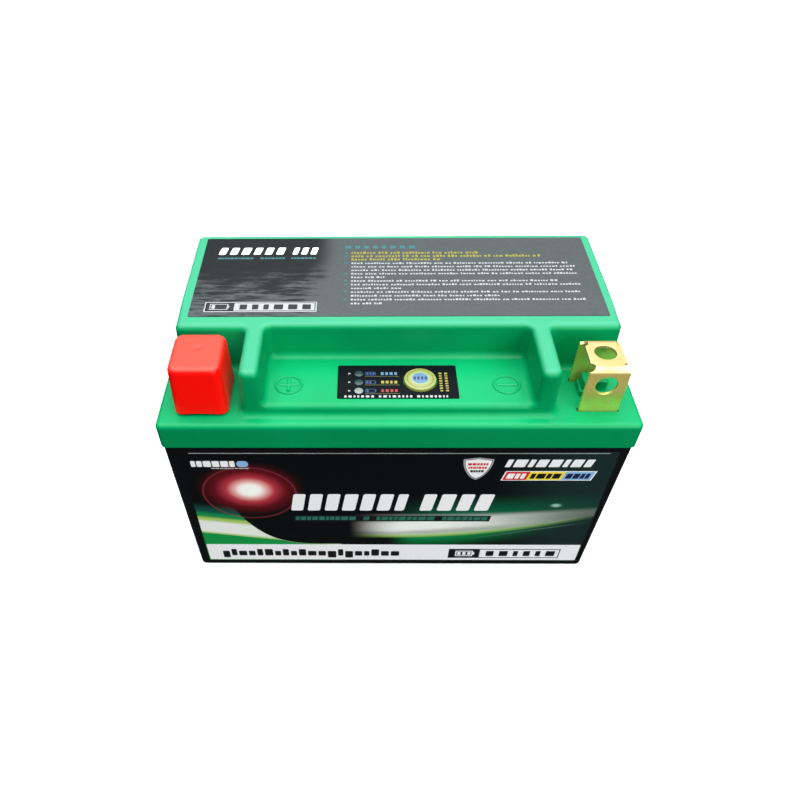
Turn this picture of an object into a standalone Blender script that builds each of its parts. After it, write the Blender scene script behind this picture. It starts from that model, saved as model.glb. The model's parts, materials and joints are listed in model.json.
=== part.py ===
"""Small motorcycle starter battery with four lithium cells in series.

A black container and a green moulded cover hold four flat cells, a balance board and a charge
indicator.  The cover has a raised block, two forward arms with a recessed tray between them, and
an open pocket at each front corner for a folded brass terminal.  The positive terminal wears a
soft red cap that pulls off upwards, and the tray carries a test button and three lamps.

Frame: origin at the centre of the base, +X towards the negative terminal, -Y out of the labelled
front, +Z up.  Units are metres.
"""
import math

import bmesh
import bpy
from mathutils import Matrix, Vector

# ---------------------------------------------------------------- driving dimensions
GAP = 0.0003                      # clearance between touching pieces
BITE = 0.0010                     # how far a cutter or a joined shape runs past a face

RIM_X = 0.0750                    # half length of the cover's rim
RIM_Y = 0.0435                    # half depth of the cover's rim
BASE_X = 0.0736                   # half length of the container at its base
BASE_Y = 0.04235                  # half depth of the container at its base
SHOULDER_X = 0.0746               # the same, at the shoulder under the cover
SHOULDER_Y = 0.04265
SHOULDER_Z = 0.0659
SKIRT_Z = 0.0670                  # lower edge of the cover
LEDGE_Z = 0.0765                  # ledge round the raised block
TRAY_Z = 0.0803                   # floor of the tray
TOP_Z = 0.0928                    # top of the block and the arms
CASE_WALL = 0.0025
CASE_FLOOR_Z = 0.0026
CASE_CORNER_R = 0.0020            # upright edges of the container
CASE_FOOT_R = 0.0012              # its edges at the base
CASE_HOLLOW_R = 0.0015            # upright edges of its hollow
LIP_HEIGHT = 0.0040               # locating lip of the container inside the cover's skirt
LIP_WALL = 0.0014
LIP_CORNER_R = 0.0020
SEAL_INSET = 0.0008               # outer edge of the seal, in from the shoulder's
COVER_WALL = 0.0020

BLOCK_X = 0.0709                  # half length of the block at its foot
BLOCK_FRONT_Y = -0.0163
BLOCK_REAR_Y = 0.0389
ARM_OUTER_X = 0.0484              # outer side of an arm at its foot
ARM_FRONT_Y = -0.0389
TRAY_HALF_X = 0.0414              # half width of the tray at its floor
TRAY_REAR_Y = -0.0150
DRAFT = 0.0006                    # how far a raised wall leans in from foot to top
EDGE_RADIUS = 0.0016              # rounding of the cover's edges and feet
SKIRT_SPARE = 0.0100              # length below the skirt that is cut off after rounding

TERMINAL_THICK = 0.0010
TERMINAL_HALF_X = 0.0061          # half width of the two upright plates
TERMINAL_TOP_HALF_X = 0.0055      # half width of the plate between them
TERMINAL_DEPTH = 0.0150
TERMINAL_TOP_Z = 0.0926
TERMINAL_TAIL_Z = 0.0700          # lower end of the tails inside the case
TERMINAL_TAIL_HALF_X = 0.0056     # half width there
TERMINAL_SHOULDER_Z = 0.0776      # where the tails start to narrow, just above the ledge
TERMINAL_BEND = 0.0018            # radius of the mid surface at a corner
TERMINAL_RELIEF_R = 0.0012        # half-round reliefs in the edges at the corners
TERMINAL_HOLE_R = 0.0033
TERMINAL_HOLE_Z = 0.0866          # height of the hole in the front plate
TERMINAL_HOLE_BACK = 0.0083       # hole in the top plate, behind the front face
NEGATIVE_X = 0.0618
NEGATIVE_FRONT_Y = -0.0368
POSITIVE_X = -0.0613
POSITIVE_FRONT_Y = -0.0361

BOSS_FOOT = (0.0046, 0.0068, 0.0022, 0.0018)    # half width, front and rear insets, height
BOSS = (0.0038, 0.0078, 0.0024, 0.0050)
PAD_HALF_X = 0.0074               # rubber pad under the ledge
PAD_MARGIN = 0.0012               # how far it runs past the terminal, front and rear
PAD_THICK = 0.0014

CAP_X = POSITIVE_X + 0.0004       # the cap is a little wider on its inner side
CAP_HALF_X = 0.0084               # foot of the red cap
CAP_FRONT_Y = -0.0392
CAP_REAR_Y = -0.0189
CAP_TOP_Z = 0.0936
CAP_SIDE_DRAFT = 0.0004
CAP_FRONT_DRAFT = 0.0014
CAP_REAR_DRAFT = 0.0009
CAP_CORNER_R = 0.0030
CAP_TOP_R = 0.0016

LABEL_THICK = 0.00025
FRONT_LABEL = (-0.0698, 0.0709, 0.0033, 0.0640)       # low x, high x, low z, high z
TOP_LABEL = (-0.0667, 0.0672, -0.0107, 0.0357)        # low x, high x, low y, high y
OVERLAY = (-0.0188, 0.0189, -0.0354, -0.0198)         # low x, high x, low y, high y
LABEL_CORNER_R = 0.0005

BUTTON_X = 0.0072
BUTTON_Y = -0.0271
BUTTON_R = 0.0051
BUTTON_POCKET_R = 0.0055
BUTTON_POCKET_Z = 0.0793
BUTTON_LOW_Z = 0.0802             # underside of the button's disc
BUTTON_RIM_Z = 0.0811
BUTTON_CROWN_Z = 0.0815
BUTTON_STEM_R = 0.0020
BUTTON_SNAP_R = 0.0027            # snap head of the stem, under the tray floor
BUTTON_SNAP_HEIGHT = 0.0007
BUTTON_HOLE_R = 0.0024
SWITCH_HALF = 0.0030
SWITCH_HEIGHT = 0.0027
SWITCH_BORE_R = 0.0019
SWITCH_BORE_FLOOR = 0.0005
PLUNGER_R = 0.0016
PLUNGER_LOW = 0.0013              # plunger's foot above the switch's own
LAMP_X = -0.0121
LAMP_YS = (-0.0234, -0.0275, -0.0315)
LAMP_R = 0.0013
LAMP_COLLAR_R = 0.0016
LAMP_COLLAR_HEIGHT = 0.0010
LAMP_HOLE_R = 0.0016
MARK_X = 0.0342                   # polarity marks on the tray floor
MARK_Y = -0.0288
MARK_R = 0.0039
MARK_LINE = 0.0007
MARK_HEIGHT = 0.0004

INDICATOR_BOARD_Z = 0.0720
INDICATOR_BOARD_THICK = 0.0012
INDICATOR_BOARD = (-0.0210, 0.0210, -0.0355, -0.0185)     # low x, high x, low y, high y
INDICATOR_POSTS = ((-0.0180, -0.0325), (0.0180, -0.0215))
INDICATOR_POST_R = 0.0024
INDICATOR_PLUG = (0.0050, 0.0130, -0.0300, -0.0250)
INDICATOR_PLUG_HEIGHT = 0.0040
SCREW_HEAD_R = 0.0019
SCREW_HEAD_THICK = 0.0013
SCREW_SHANK_R = 0.0010
SCREW_HOLE_R = 0.0013
SCREW_HOLE_DEPTH = 0.0042

CELL_COUNT = 4
CELL_THICK = 0.0200
CELL_HALF_Y = 0.0380
CELL_LOW_Z = 0.0075
CELL_TOP_Z = 0.0575
CELL_PITCH = 0.0223
POST_R = 0.0030
POST_Y = 0.0280
POST_TOP_Z = 0.0602
PACK_HALF_X = 0.0704              # foam round the cells
PACK_HALF_Y = 0.0390
END_FOAM_TOP_Z = 0.0500
SPACER_DROP = 0.0020              # top of a spacer below the cells'
FRAME_HALF_X = 0.0460
FRAME_THICK = 0.0021
FRAME_POST_R = 0.0026
POST_CLEARANCE = 0.0005           # between a cell's post and the hole in the frame
LINK_THICK = 0.0012
LINK_HALF_Y = 0.0050
LINK_OVERHANG = 0.0042            # how far a link runs past the middle of a post
LINK_Z = POST_TOP_Z + GAP
LEAD_Z = TERMINAL_TAIL_Z - GAP    # top face of the flat lead under a terminal's tails
LEAD_BEND_X = 0.0500
LEAD_MARGIN = 0.0004              # how far a lead runs past the tails, front and rear

SENSE_WIRE_R = 0.0006
SENSE_WIRE_REACH = 0.0355         # how far out the end wires lie

BALANCE_BOARD = (-0.0440, 0.0440, -0.0140, 0.0360)
BALANCE_BOARD_Z = 0.0660
BALANCE_BOARD_THICK = 0.0016
BALANCE_POSTS = ((-0.0413, -0.0100), (0.0413, -0.0100), (-0.0413, 0.0320), (0.0413, 0.0320))
RESISTOR_PITCH = 0.0178
RESISTOR = (0.0064, 0.0032, 0.0016)             # length, depth, height
RESISTOR_Y = 0.0196
CONTROLLER = (-0.0060, 0.0060, 0.0010, 0.0090)  # low x, high x, low y, high y
CONTROLLER_HEIGHT = 0.0018
SOCKET = (0.0050, 0.0130, -0.0120, -0.0070)
SOCKET_HEIGHT = 0.0045
CABLE_R = 0.0010
CABLE_X = 0.0090

COLLECTION_NAME = "motorcycle_battery"
CUTTER_COLLECTION_NAME = "cutters"


# ---------------------------------------------------------------- scene set-up and materials
def clear_scene():
    """Remove what the start-up file holds."""
    for item in list(bpy.data.objects):
        bpy.data.objects.remove(item, do_unlink=True)


def new_collection(name):
    collection = bpy.data.collections.new(name)
    bpy.context.scene.collection.children.link(collection)
    return collection


def new_material(name, colour, roughness, metallic=0.0):
    """A Principled material with one colour."""
    material = bpy.data.materials.new(name)
    material.use_nodes = True
    shader = material.node_tree.nodes["Principled BSDF"]
    shader.inputs["Base Color"].default_value = (*colour, 1.0)
    shader.inputs["Roughness"].default_value = roughness
    shader.inputs["Metallic"].default_value = metallic
    material.diffuse_color = (*colour, 1.0)
    return material


clear_scene()
PARTS = new_collection(COLLECTION_NAME)
CUTTERS = new_collection(CUTTER_COLLECTION_NAME)

FINISHES = {
    "black_case": ((0.010, 0.011, 0.012), 0.38, 0.0),
    "green_cover": ((0.000, 0.520, 0.210), 0.30, 0.0),
    "seal": ((0.020, 0.020, 0.020), 0.70, 0.0),
    "brass": ((0.780, 0.640, 0.260), 0.28, 1.0),
    "red_cap": ((0.850, 0.030, 0.010), 0.42, 0.0),
    "label_black": ((0.010, 0.012, 0.011), 0.30, 0.0),
    "label_grey": ((0.180, 0.195, 0.200), 0.30, 0.0),
    "overlay": ((0.012, 0.014, 0.016), 0.32, 0.0),
    "button": ((0.560, 0.720, 0.280), 0.40, 0.0),
    "lamp": ((0.420, 0.520, 0.470), 0.20, 0.0),
    "board": ((0.010, 0.150, 0.060), 0.45, 0.0),
    "component": ((0.025, 0.025, 0.028), 0.50, 0.0),
    "connector": ((0.780, 0.760, 0.680), 0.50, 0.0),
    "cable": ((0.600, 0.020, 0.015), 0.50, 0.0),
    "cell": ((0.640, 0.660, 0.680), 0.35, 1.0),
    "foam": ((0.060, 0.060, 0.062), 0.95, 0.0),
    "frame": ((0.030, 0.030, 0.032), 0.55, 0.0),
    "copper": ((0.780, 0.380, 0.200), 0.30, 1.0),
    "steel": ((0.600, 0.610, 0.620), 0.30, 1.0),
}
MATERIALS = {name: new_material(name, *values) for name, values in FINISHES.items()}


# ---------------------------------------------------------------- modelling helpers
def add_object(name, data, finish=None):
    """Put mesh or curve data in the scene: a part when it has a finish, a cutter when not."""
    item = bpy.data.objects.new(name, data)
    if finish:
        PARTS.objects.link(item)
        data.materials.append(MATERIALS[finish])
    else:
        CUTTERS.objects.link(item)
        item.hide_render = True
        item.display_type = "WIRE"
    return item


def mesh_object(name, bm, finish=None):
    mesh = bpy.data.meshes.new(name)
    bm.to_mesh(mesh)
    bm.free()
    return add_object(name, mesh, finish)


def round_edges(item, radius, segments=2):
    """Round every sharp edge of the shape so far."""
    bevel = item.modifiers.new("rounding", "BEVEL")
    bevel.width = radius
    bevel.segments = segments
    bevel.limit_method = "ANGLE"
    bevel.angle_limit = math.radians(30)
    item.modifiers.new("triangles", "TRIANGULATE")
    return bevel


def cut(item, cutter):
    boolean = item.modifiers.new("cut " + cutter.name, "BOOLEAN")
    boolean.operation = "DIFFERENCE"
    boolean.solver = "EXACT"
    boolean.object = cutter
    return boolean


def join(item, other):
    boolean = item.modifiers.new("join " + other.name, "BOOLEAN")
    boolean.operation = "UNION"
    boolean.solver = "EXACT"
    boolean.object = other
    return boolean


def tapered_box(name, low, high, taper=(0.0, 0.0, 0.0, 0.0), finish=None, radii=None, segments=2):
    """A box from low to high whose top is drawn in by taper = (low x, high x, low y, high y).

    radii gives the rounding of the vertical, top and bottom edges.
    """
    bm = bmesh.new()
    bmesh.ops.create_cube(bm, size=1.0)
    for vertex in bm.verts:
        east, north, up = (value > 0 for value in vertex.co)
        x = high[0] - taper[1] * up if east else low[0] + taper[0] * up
        y = high[1] - taper[3] * up if north else low[1] + taper[2] * up
        vertex.co = (x, y, high[2] if up else low[2])
    if radii:
        weights = bm.edges.layers.float.new("bevel_weight_edge")
        middle = (low[2] + high[2]) / 2
        for edge in bm.edges:
            sides = sum(vertex.co.z > middle for vertex in edge.verts)
            kind = ("bottom", "vertical", "top")[sides]
            edge[weights] = radii.get(kind, 0.0) / max(radii.values())
    item = mesh_object(name, bm, finish)
    if radii:
        bevel = item.modifiers.new("rounding", "BEVEL")
        bevel.width = max(radii.values())
        bevel.segments = segments
        bevel.limit_method = "WEIGHT"
    return item


def box(name, low, high, finish=None, radii=None, segments=2):
    return tapered_box(name, low, high, finish=finish, radii=radii, segments=segments)


def cylinder(name, radius, start, end, finish=None, sides=24):
    """A cylinder between two points."""
    start = Vector(start)
    axis = Vector(end) - start
    bm = bmesh.new()
    bmesh.ops.create_cone(bm, cap_ends=True, segments=sides, radius1=radius, radius2=radius,
                          depth=axis.length)
    turn = axis.to_track_quat("Z", "Y").to_matrix().to_4x4()
    bmesh.ops.transform(bm, matrix=Matrix.Translation(start + axis / 2) @ turn, verts=bm.verts)
    return mesh_object(name, bm, finish)


def upright(name, radius, centre, low_z, high_z, finish=None, sides=24):
    """A cylinder that stands on a plan position."""
    return cylinder(name, radius, (*centre, low_z), (*centre, high_z), finish, sides)


def turned(name, profile, place, finish=None, steps=28):
    """A solid of revolution: profile lists (radius, height) from its top centre to its foot."""
    bm = bmesh.new()
    points = [bm.verts.new((radius, 0.0, height)) for radius, height in profile]
    for first, second in zip(points, points[1:]):
        bm.edges.new((first, second))
    item = mesh_object(name, bm, finish)
    item.location = place
    screw = item.modifiers.new("turning", "SCREW")
    screw.axis = "Z"
    screw.steps = steps
    screw.render_steps = steps
    screw.use_merge_vertices = True
    screw.merge_threshold = 0.00001
    return item


def bent_strip(name, path, low_y, high_y, thickness, bend, finish):
    """A flat strip folded along path, a list of (x, z) points, and given a thickness."""
    bm = bmesh.new()
    rows = [[bm.verts.new((x, side, z)) for side in (low_y, high_y)] for x, z in path]
    for first, second in zip(rows, rows[1:]):
        bm.faces.new((first[0], first[1], second[1], second[0]))
    item = mesh_object(name, bm, finish)
    folds = item.modifiers.new("folds", "BEVEL")
    folds.width = bend
    folds.segments = 3
    folds.limit_method = "ANGLE"
    folds.angle_limit = math.radians(30)
    plate = item.modifiers.new("thickness", "SOLIDIFY")
    plate.thickness = thickness
    plate.offset = 0.0
    plate.use_even_offset = True
    return item


def smooth_route(points, samples):
    """Points along a Catmull-Rom curve through the route's own points."""
    spots = [Vector(point) for point in points]
    spots = [2 * spots[0] - spots[1]] + spots + [2 * spots[-1] - spots[-2]]
    route = []
    for index in range(1, len(spots) - 2):
        before, start, end, after = spots[index - 1:index + 3]
        for sample in range(samples):
            t = sample / samples
            route.append(0.5 * (2 * start + (end - before) * t
                                + (2 * before - 5 * start + 4 * end - after) * t ** 2
                                + (3 * start - before - 3 * end + after) * t ** 3))
    route.append(spots[-2])
    return route


def wire(name, points, radius, finish, samples=4):
    """An insulated wire along a smooth route, with flat ends."""
    curve = bpy.data.curves.new(name, "CURVE")
    curve.dimensions = "3D"
    curve.bevel_depth = radius
    curve.bevel_resolution = 2
    curve.use_fill_caps = True
    route = smooth_route(points, samples)
    spline = curve.splines.new("POLY")
    spline.points.add(len(route) - 1)
    for point, place in zip(spline.points, route):
        point.co = (*place, 1.0)
    return add_object(name, curve, finish)


# ---------------------------------------------------------------- container, seal and cover
def make_container():
    """The open black case: drafted walls, a shoulder, and a lip that locates the cover."""
    inset_x = SHOULDER_X - BASE_X
    inset_y = SHOULDER_Y - BASE_Y
    spread = (-inset_x, -inset_x, -inset_y, -inset_y)
    case = tapered_box("container", (-BASE_X, -BASE_Y, 0.0), (BASE_X, BASE_Y, SHOULDER_Z), spread,
                       "black_case", {"vertical": CASE_CORNER_R, "bottom": CASE_FOOT_R}, 3)
    lip_x = RIM_X - COVER_WALL - GAP
    lip_y = RIM_Y - COVER_WALL - GAP
    lip_z = SHOULDER_Z + LIP_HEIGHT
    join(case, box("lip_outside", (-lip_x, -lip_y, SHOULDER_Z - LIP_HEIGHT), (lip_x, lip_y, lip_z),
                   radii={"vertical": LIP_CORNER_R}))
    hollow_x = lip_x - LIP_WALL
    hollow_y = lip_y - LIP_WALL
    floor_x = BASE_X - CASE_WALL
    floor_y = BASE_Y - CASE_WALL
    narrow = (floor_x - hollow_x, floor_x - hollow_x, floor_y - hollow_y, floor_y - hollow_y)
    cut(case, tapered_box("case_hollow", (-floor_x, -floor_y, CASE_FLOOR_Z),
                          (floor_x, floor_y, lip_z + BITE), narrow,
                          radii={"vertical": CASE_HOLLOW_R}))


def make_cover_seal():
    """A flat ring in the joint between the container's shoulder and the cover's skirt."""
    outer_x = SHOULDER_X - SEAL_INSET
    outer_y = SHOULDER_Y - SEAL_INSET
    inner_x = RIM_X - COVER_WALL
    inner_y = RIM_Y - COVER_WALL
    low = SHOULDER_Z + GAP
    high = SKIRT_Z - GAP
    seal = box("cover_seal", (-outer_x, -outer_y, low), (outer_x, outer_y, high), "seal",
               {"vertical": CASE_CORNER_R - SEAL_INSET})
    cut(seal, box("seal_opening", (-inner_x, -inner_y, low - BITE), (inner_x, inner_y, high + BITE),
                  radii={"vertical": LIP_CORNER_R}))


def cover_form(name, wall, finish=None):
    """Rim, block and arms joined, and the tray taken out.  A wall makes the smaller inner form."""
    ledge_z = LEDGE_Z - wall
    top_z = TOP_Z - wall
    block_low_z = ledge_z - BITE
    arms_low_z = ledge_z - 1.5 * BITE
    form = box(name, (-RIM_X + wall, -RIM_Y + wall, SKIRT_Z - SKIRT_SPARE),
               (RIM_X - wall, RIM_Y - wall, ledge_z), finish)
    join(form, tapered_box(name + "_block", (-BLOCK_X + wall, BLOCK_FRONT_Y + wall, block_low_z),
                           (BLOCK_X - wall, BLOCK_REAR_Y - wall, top_z), (DRAFT,) * 4))
    join(form, tapered_box(name + "_arms", (-ARM_OUTER_X + wall, ARM_FRONT_Y + wall, arms_low_z),
                           (ARM_OUTER_X - wall, 0.0, top_z), (DRAFT, DRAFT, DRAFT, 0.0)))
    cut(form, tapered_box(name + "_tray", (-TRAY_HALF_X - wall, -RIM_Y - BITE, TRAY_Z - wall),
                          (TRAY_HALF_X + wall, TRAY_REAR_Y + wall, TOP_Z + BITE),
                          (-DRAFT, -DRAFT, 0.0, 0.0)))
    flatten = form.modifiers.new("one face to a plane", "DECIMATE")
    flatten.decimate_type = "DISSOLVE"
    flatten.angle_limit = math.radians(0.5)
    return form


def polarity_ring(name, x):
    """The raised ring of a polarity mark."""
    ring = upright(name, MARK_R, (x, MARK_Y), TRAY_Z - MARK_HEIGHT, TRAY_Z + MARK_HEIGHT, sides=32)
    cut(ring, upright(name + "_inside", MARK_R - MARK_LINE, (x, MARK_Y), TRAY_Z - BITE,
                      TRAY_Z + BITE, sides=32))
    return ring


def polarity_bar(name, x, half_x, half_y):
    return box(name, (x - half_x, MARK_Y - half_y, TRAY_Z - 0.8 * MARK_HEIGHT),
               (x + half_x, MARK_Y + half_y, TRAY_Z + MARK_HEIGHT))


def terminal_slots(item, name, x, front_y, low_z, high_z):
    """Cut the two slots that a terminal's tails pass through."""
    reach = TERMINAL_HALF_X + GAP
    rear_y = front_y + TERMINAL_DEPTH - TERMINAL_THICK
    for tag, low_y in (("front", front_y), ("rear", rear_y)):
        cut(item, box(f"{name}_slot_{tag}", (x - reach, low_y - GAP, low_z),
                      (x + reach, low_y + TERMINAL_THICK + GAP, high_z)))


def terminal_boss(cover, name, x, front_y):
    """Join the stepped boss that stands between a terminal's upright plates."""
    rear_y = front_y + TERMINAL_DEPTH
    for tag, (half_x, front, rear, height), bite in (("foot", BOSS_FOOT, BITE), ("top", BOSS, 0.8 * BITE)):
        join(cover, box(f"{name}_boss_{tag}", (x - half_x, front_y + front, LEDGE_Z - bite),
                        (x + half_x, rear_y - rear, LEDGE_Z + height)))


def make_cover():
    """The green cover: a moulded shell with slots, lamp holes, a button pocket and board posts."""
    cover = cover_form("cover", 0.0, "green_cover")
    round_edges(cover, EDGE_RADIUS, 3)
    cut(cover, box("below_the_skirt", (-2 * RIM_X, -2 * RIM_Y, SKIRT_Z - 2 * SKIRT_SPARE),
                   (2 * RIM_X, 2 * RIM_Y, SKIRT_Z)))
    cut(cover, cover_form("cover_inside", COVER_WALL))
    for name, x, front_y in (("negative", NEGATIVE_X, NEGATIVE_FRONT_Y),
                             ("positive", POSITIVE_X, POSITIVE_FRONT_Y)):
        terminal_boss(cover, name, x, front_y)
        terminal_slots(cover, name, x, front_y, LEDGE_Z - 3 * COVER_WALL, LEDGE_Z + BITE)
    bar = 0.55 * MARK_R
    under_floor = TRAY_Z - 2 * COVER_WALL
    join(cover, polarity_ring("mark_plus_ring", -MARK_X))
    join(cover, polarity_bar("mark_plus_across", -MARK_X, bar, MARK_LINE / 2))
    join(cover, polarity_bar("mark_plus_along", -MARK_X, MARK_LINE / 2, bar))
    join(cover, polarity_ring("mark_minus_ring", MARK_X))
    join(cover, polarity_bar("mark_minus_across", MARK_X, bar, MARK_LINE / 2))
    cut(cover, upright("button_pocket", BUTTON_POCKET_R, (BUTTON_X, BUTTON_Y), BUTTON_POCKET_Z,
                       TRAY_Z + BITE, sides=32))
    cut(cover, upright("button_hole", BUTTON_HOLE_R, (BUTTON_X, BUTTON_Y), under_floor, TRAY_Z))
    for index, y in enumerate(LAMP_YS):
        cut(cover, upright(f"lamp_hole_{index + 1}", LAMP_HOLE_R, (LAMP_X, y), under_floor,
                           TRAY_Z + BITE, sides=20))
    board_top = INDICATOR_BOARD_Z + INDICATOR_BOARD_THICK
    for index, place in enumerate(INDICATOR_POSTS):
        join(cover, upright(f"board_post_{index + 1}", INDICATOR_POST_R, place, board_top + GAP,
                            TRAY_Z - COVER_WALL / 2, sides=20))
        cut(cover, upright(f"board_post_hole_{index + 1}", SCREW_HOLE_R, place, board_top,
                           board_top + SCREW_HOLE_DEPTH, sides=16))


# ---------------------------------------------------------------- terminals and the cap
def arch_section(front_y):
    """Rows (run along Y, height, half width) of a terminal's mid surface, tail to tail.

    The tails narrow downwards to pass the slots.  The corners are quarter arcs, and a half-round
    relief is cut in both edges where each arc meets the top plate, because the top plate is
    narrower than the upright ones.
    """
    half_thick = TERMINAL_THICK / 2
    near = front_y + half_thick
    top = TERMINAL_TOP_Z - half_thick
    half_span = (TERMINAL_DEPTH - TERMINAL_THICK) / 2
    middle = near + half_span
    rows = [(near, TERMINAL_TAIL_Z, TERMINAL_TAIL_HALF_X), (near, TERMINAL_SHOULDER_Z, TERMINAL_HALF_X)]
    for step in range(5):
        angle = math.radians(22.5 * step)
        run = near + TERMINAL_BEND * (1 - math.cos(angle))
        height = top - TERMINAL_BEND * (1 - math.sin(angle))
        to_relief = TERMINAL_BEND * (math.pi / 2 - angle)
        depth = math.sqrt(max(0.0, TERMINAL_RELIEF_R ** 2 - to_relief ** 2))
        rows.append((run, height, TERMINAL_HALF_X - depth))
    for share in (0.7, 1.0):
        depth = TERMINAL_RELIEF_R * math.sqrt(1 - share ** 2)
        run = near + TERMINAL_BEND + share * TERMINAL_RELIEF_R
        rows.append((run, top, TERMINAL_TOP_HALF_X - depth))
    return rows + [(2 * middle - run, height, half) for run, height, half in reversed(rows)]


def make_terminal(name, x, front_y):
    """A brass strip folded into an arch, with a bolt hole on top and in front."""
    bm = bmesh.new()
    rows = [[bm.verts.new((x + side * half, run, height)) for side in (-1, 1)]
            for run, height, half in arch_section(front_y)]
    for first, second in zip(rows, rows[1:]):
        bm.faces.new((first[0], first[1], second[1], second[0]))
    plate = mesh_object(name, bm, "brass")
    thickness = plate.modifiers.new("thickness", "SOLIDIFY")
    thickness.thickness = TERMINAL_THICK
    thickness.offset = 0.0
    thickness.use_even_offset = True
    hole_y = front_y + TERMINAL_HOLE_BACK
    reach = 3 * TERMINAL_THICK
    cut(plate, upright(name + "_top_hole", TERMINAL_HOLE_R, (x, hole_y), TERMINAL_TOP_Z - reach,
                       TERMINAL_TOP_Z + reach))
    cut(plate, cylinder(name + "_front_hole", TERMINAL_HOLE_R, (x, front_y - reach, TERMINAL_HOLE_Z),
                        (x, front_y + reach, TERMINAL_HOLE_Z)))


def make_terminal_seal(name, x, front_y):
    """A rubber pad under the ledge, with a slot for each tail."""
    high = LEDGE_Z - COVER_WALL - GAP
    low = high - PAD_THICK
    pad = box(name, (x - PAD_HALF_X, front_y - PAD_MARGIN, low),
              (x + PAD_HALF_X, front_y + TERMINAL_DEPTH + PAD_MARGIN, high), "seal",
              {"vertical": 0.8 * PAD_MARGIN}, 2)
    terminal_slots(pad, name, x, front_y, low - BITE, high + BITE)


def make_cap():
    """The soft red cap over the positive terminal, open below."""
    low_z = LEDGE_Z + GAP
    cap = tapered_box("positive_cap", (CAP_X - CAP_HALF_X, CAP_FRONT_Y, low_z),
                      (CAP_X + CAP_HALF_X, CAP_REAR_Y, CAP_TOP_Z),
                      (CAP_SIDE_DRAFT, CAP_SIDE_DRAFT, CAP_FRONT_DRAFT, CAP_REAR_DRAFT), "red_cap",
                      {"vertical": CAP_CORNER_R, "top": CAP_TOP_R}, 4)
    half_x = TERMINAL_HALF_X + GAP
    cut(cap, box("cap_hollow", (POSITIVE_X - half_x, POSITIVE_FRONT_Y - GAP, low_z - BITE),
                 (POSITIVE_X + half_x, POSITIVE_FRONT_Y + TERMINAL_DEPTH + GAP,
                  TERMINAL_TOP_Z + GAP), radii={"vertical": 2 * GAP, "top": 3 * GAP}))


# ---------------------------------------------------------------- labels
def make_labels():
    """Thin stickers on the front, on the block and on the tray floor."""
    low_x, high_x, low_z, high_z = FRONT_LABEL
    lean = math.atan((SHOULDER_Y - BASE_Y) / SHOULDER_Z)
    middle_z = (low_z + high_z) / 2
    face_y = -(BASE_Y + math.tan(lean) * middle_z)
    half_x = (high_x - low_x) / 2
    half_z = (high_z - low_z) / 2
    front = box("front_label", (-half_x, -LABEL_THICK / 2, -half_z), (half_x, LABEL_THICK / 2, half_z),
                "label_black")
    front.location = ((low_x + high_x) / 2, face_y - GAP - LABEL_THICK / 2, middle_z)
    front.rotation_euler.x = lean
    low_x, high_x, low_y, high_y = TOP_LABEL
    low_z = TOP_Z + GAP
    box("top_label", (low_x, low_y, low_z), (high_x, high_y, low_z + LABEL_THICK), "label_grey",
        {"vertical": LABEL_CORNER_R})
    low_x, high_x, low_y, high_y = OVERLAY
    low_z = TRAY_Z + GAP
    overlay = box("indicator_overlay", (low_x, low_y, low_z), (high_x, high_y, low_z + LABEL_THICK),
                  "overlay", {"vertical": LABEL_CORNER_R})
    cut(overlay, upright("overlay_hole", BUTTON_POCKET_R, (BUTTON_X, BUTTON_Y), low_z - BITE,
                         low_z + BITE, sides=32))


# ---------------------------------------------------------------- charge indicator
def make_button():
    """Test button: a domed disc and a stem with a snap head under the tray floor."""
    head = TRAY_Z - COVER_WALL - 1.5 * GAP
    foot = head - BUTTON_SNAP_HEIGHT
    soft = (BUTTON_CROWN_Z - BUTTON_RIM_Z) / 4
    profile = [(0.0, BUTTON_CROWN_Z), (0.6 * BUTTON_R, BUTTON_CROWN_Z - soft),
               (0.93 * BUTTON_R, BUTTON_RIM_Z + soft), (BUTTON_R, BUTTON_RIM_Z - 2 * soft),
               (BUTTON_R, BUTTON_LOW_Z), (BUTTON_STEM_R, BUTTON_LOW_Z), (BUTTON_STEM_R, head),
               (BUTTON_SNAP_R, head), (0.9 * BUTTON_STEM_R, foot), (0.0, foot)]
    turned("test_button", profile, (BUTTON_X, BUTTON_Y, 0.0), "button", 32)
    return foot


def make_test_switch(stem_z):
    """Push switch on the indicator board, with its own plunger under the button's stem."""
    board_top = INDICATOR_BOARD_Z + INDICATOR_BOARD_THICK
    low = board_top + GAP
    high = low + SWITCH_HEIGHT
    centre = (BUTTON_X, BUTTON_Y)
    body = box("test_switch", (BUTTON_X - SWITCH_HALF, BUTTON_Y - SWITCH_HALF, low),
               (BUTTON_X + SWITCH_HALF, BUTTON_Y + SWITCH_HALF, high), "component",
               {"vertical": LABEL_CORNER_R}, 1)
    cut(body, upright("switch_bore", SWITCH_BORE_R, centre, low + SWITCH_BORE_FLOOR, high + BITE))
    upright("test_switch_plunger", PLUNGER_R, centre, low + PLUNGER_LOW, stem_z - GAP, "connector",
            20)


def make_lamps():
    """Three round-topped lamps that stand in holes in the tray floor."""
    low = INDICATOR_BOARD_Z + INDICATOR_BOARD_THICK + GAP
    shoulder = TRAY_Z - GAP / 3 - LAMP_R
    dome = [(LAMP_R * math.sin(angle), shoulder + LAMP_R * math.cos(angle))
            for angle in (math.radians(degrees) for degrees in (0, 22.5, 45, 67.5, 90))]
    collar_z = low + LAMP_COLLAR_HEIGHT
    foot = [(LAMP_R, collar_z), (LAMP_COLLAR_R, collar_z), (LAMP_COLLAR_R, low), (0.0, low)]
    for name, y in zip(("lamp_full", "lamp_half", "lamp_low"), LAMP_YS):
        turned(name, dome + foot, (LAMP_X, y, 0.0), "lamp", 16)


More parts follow.
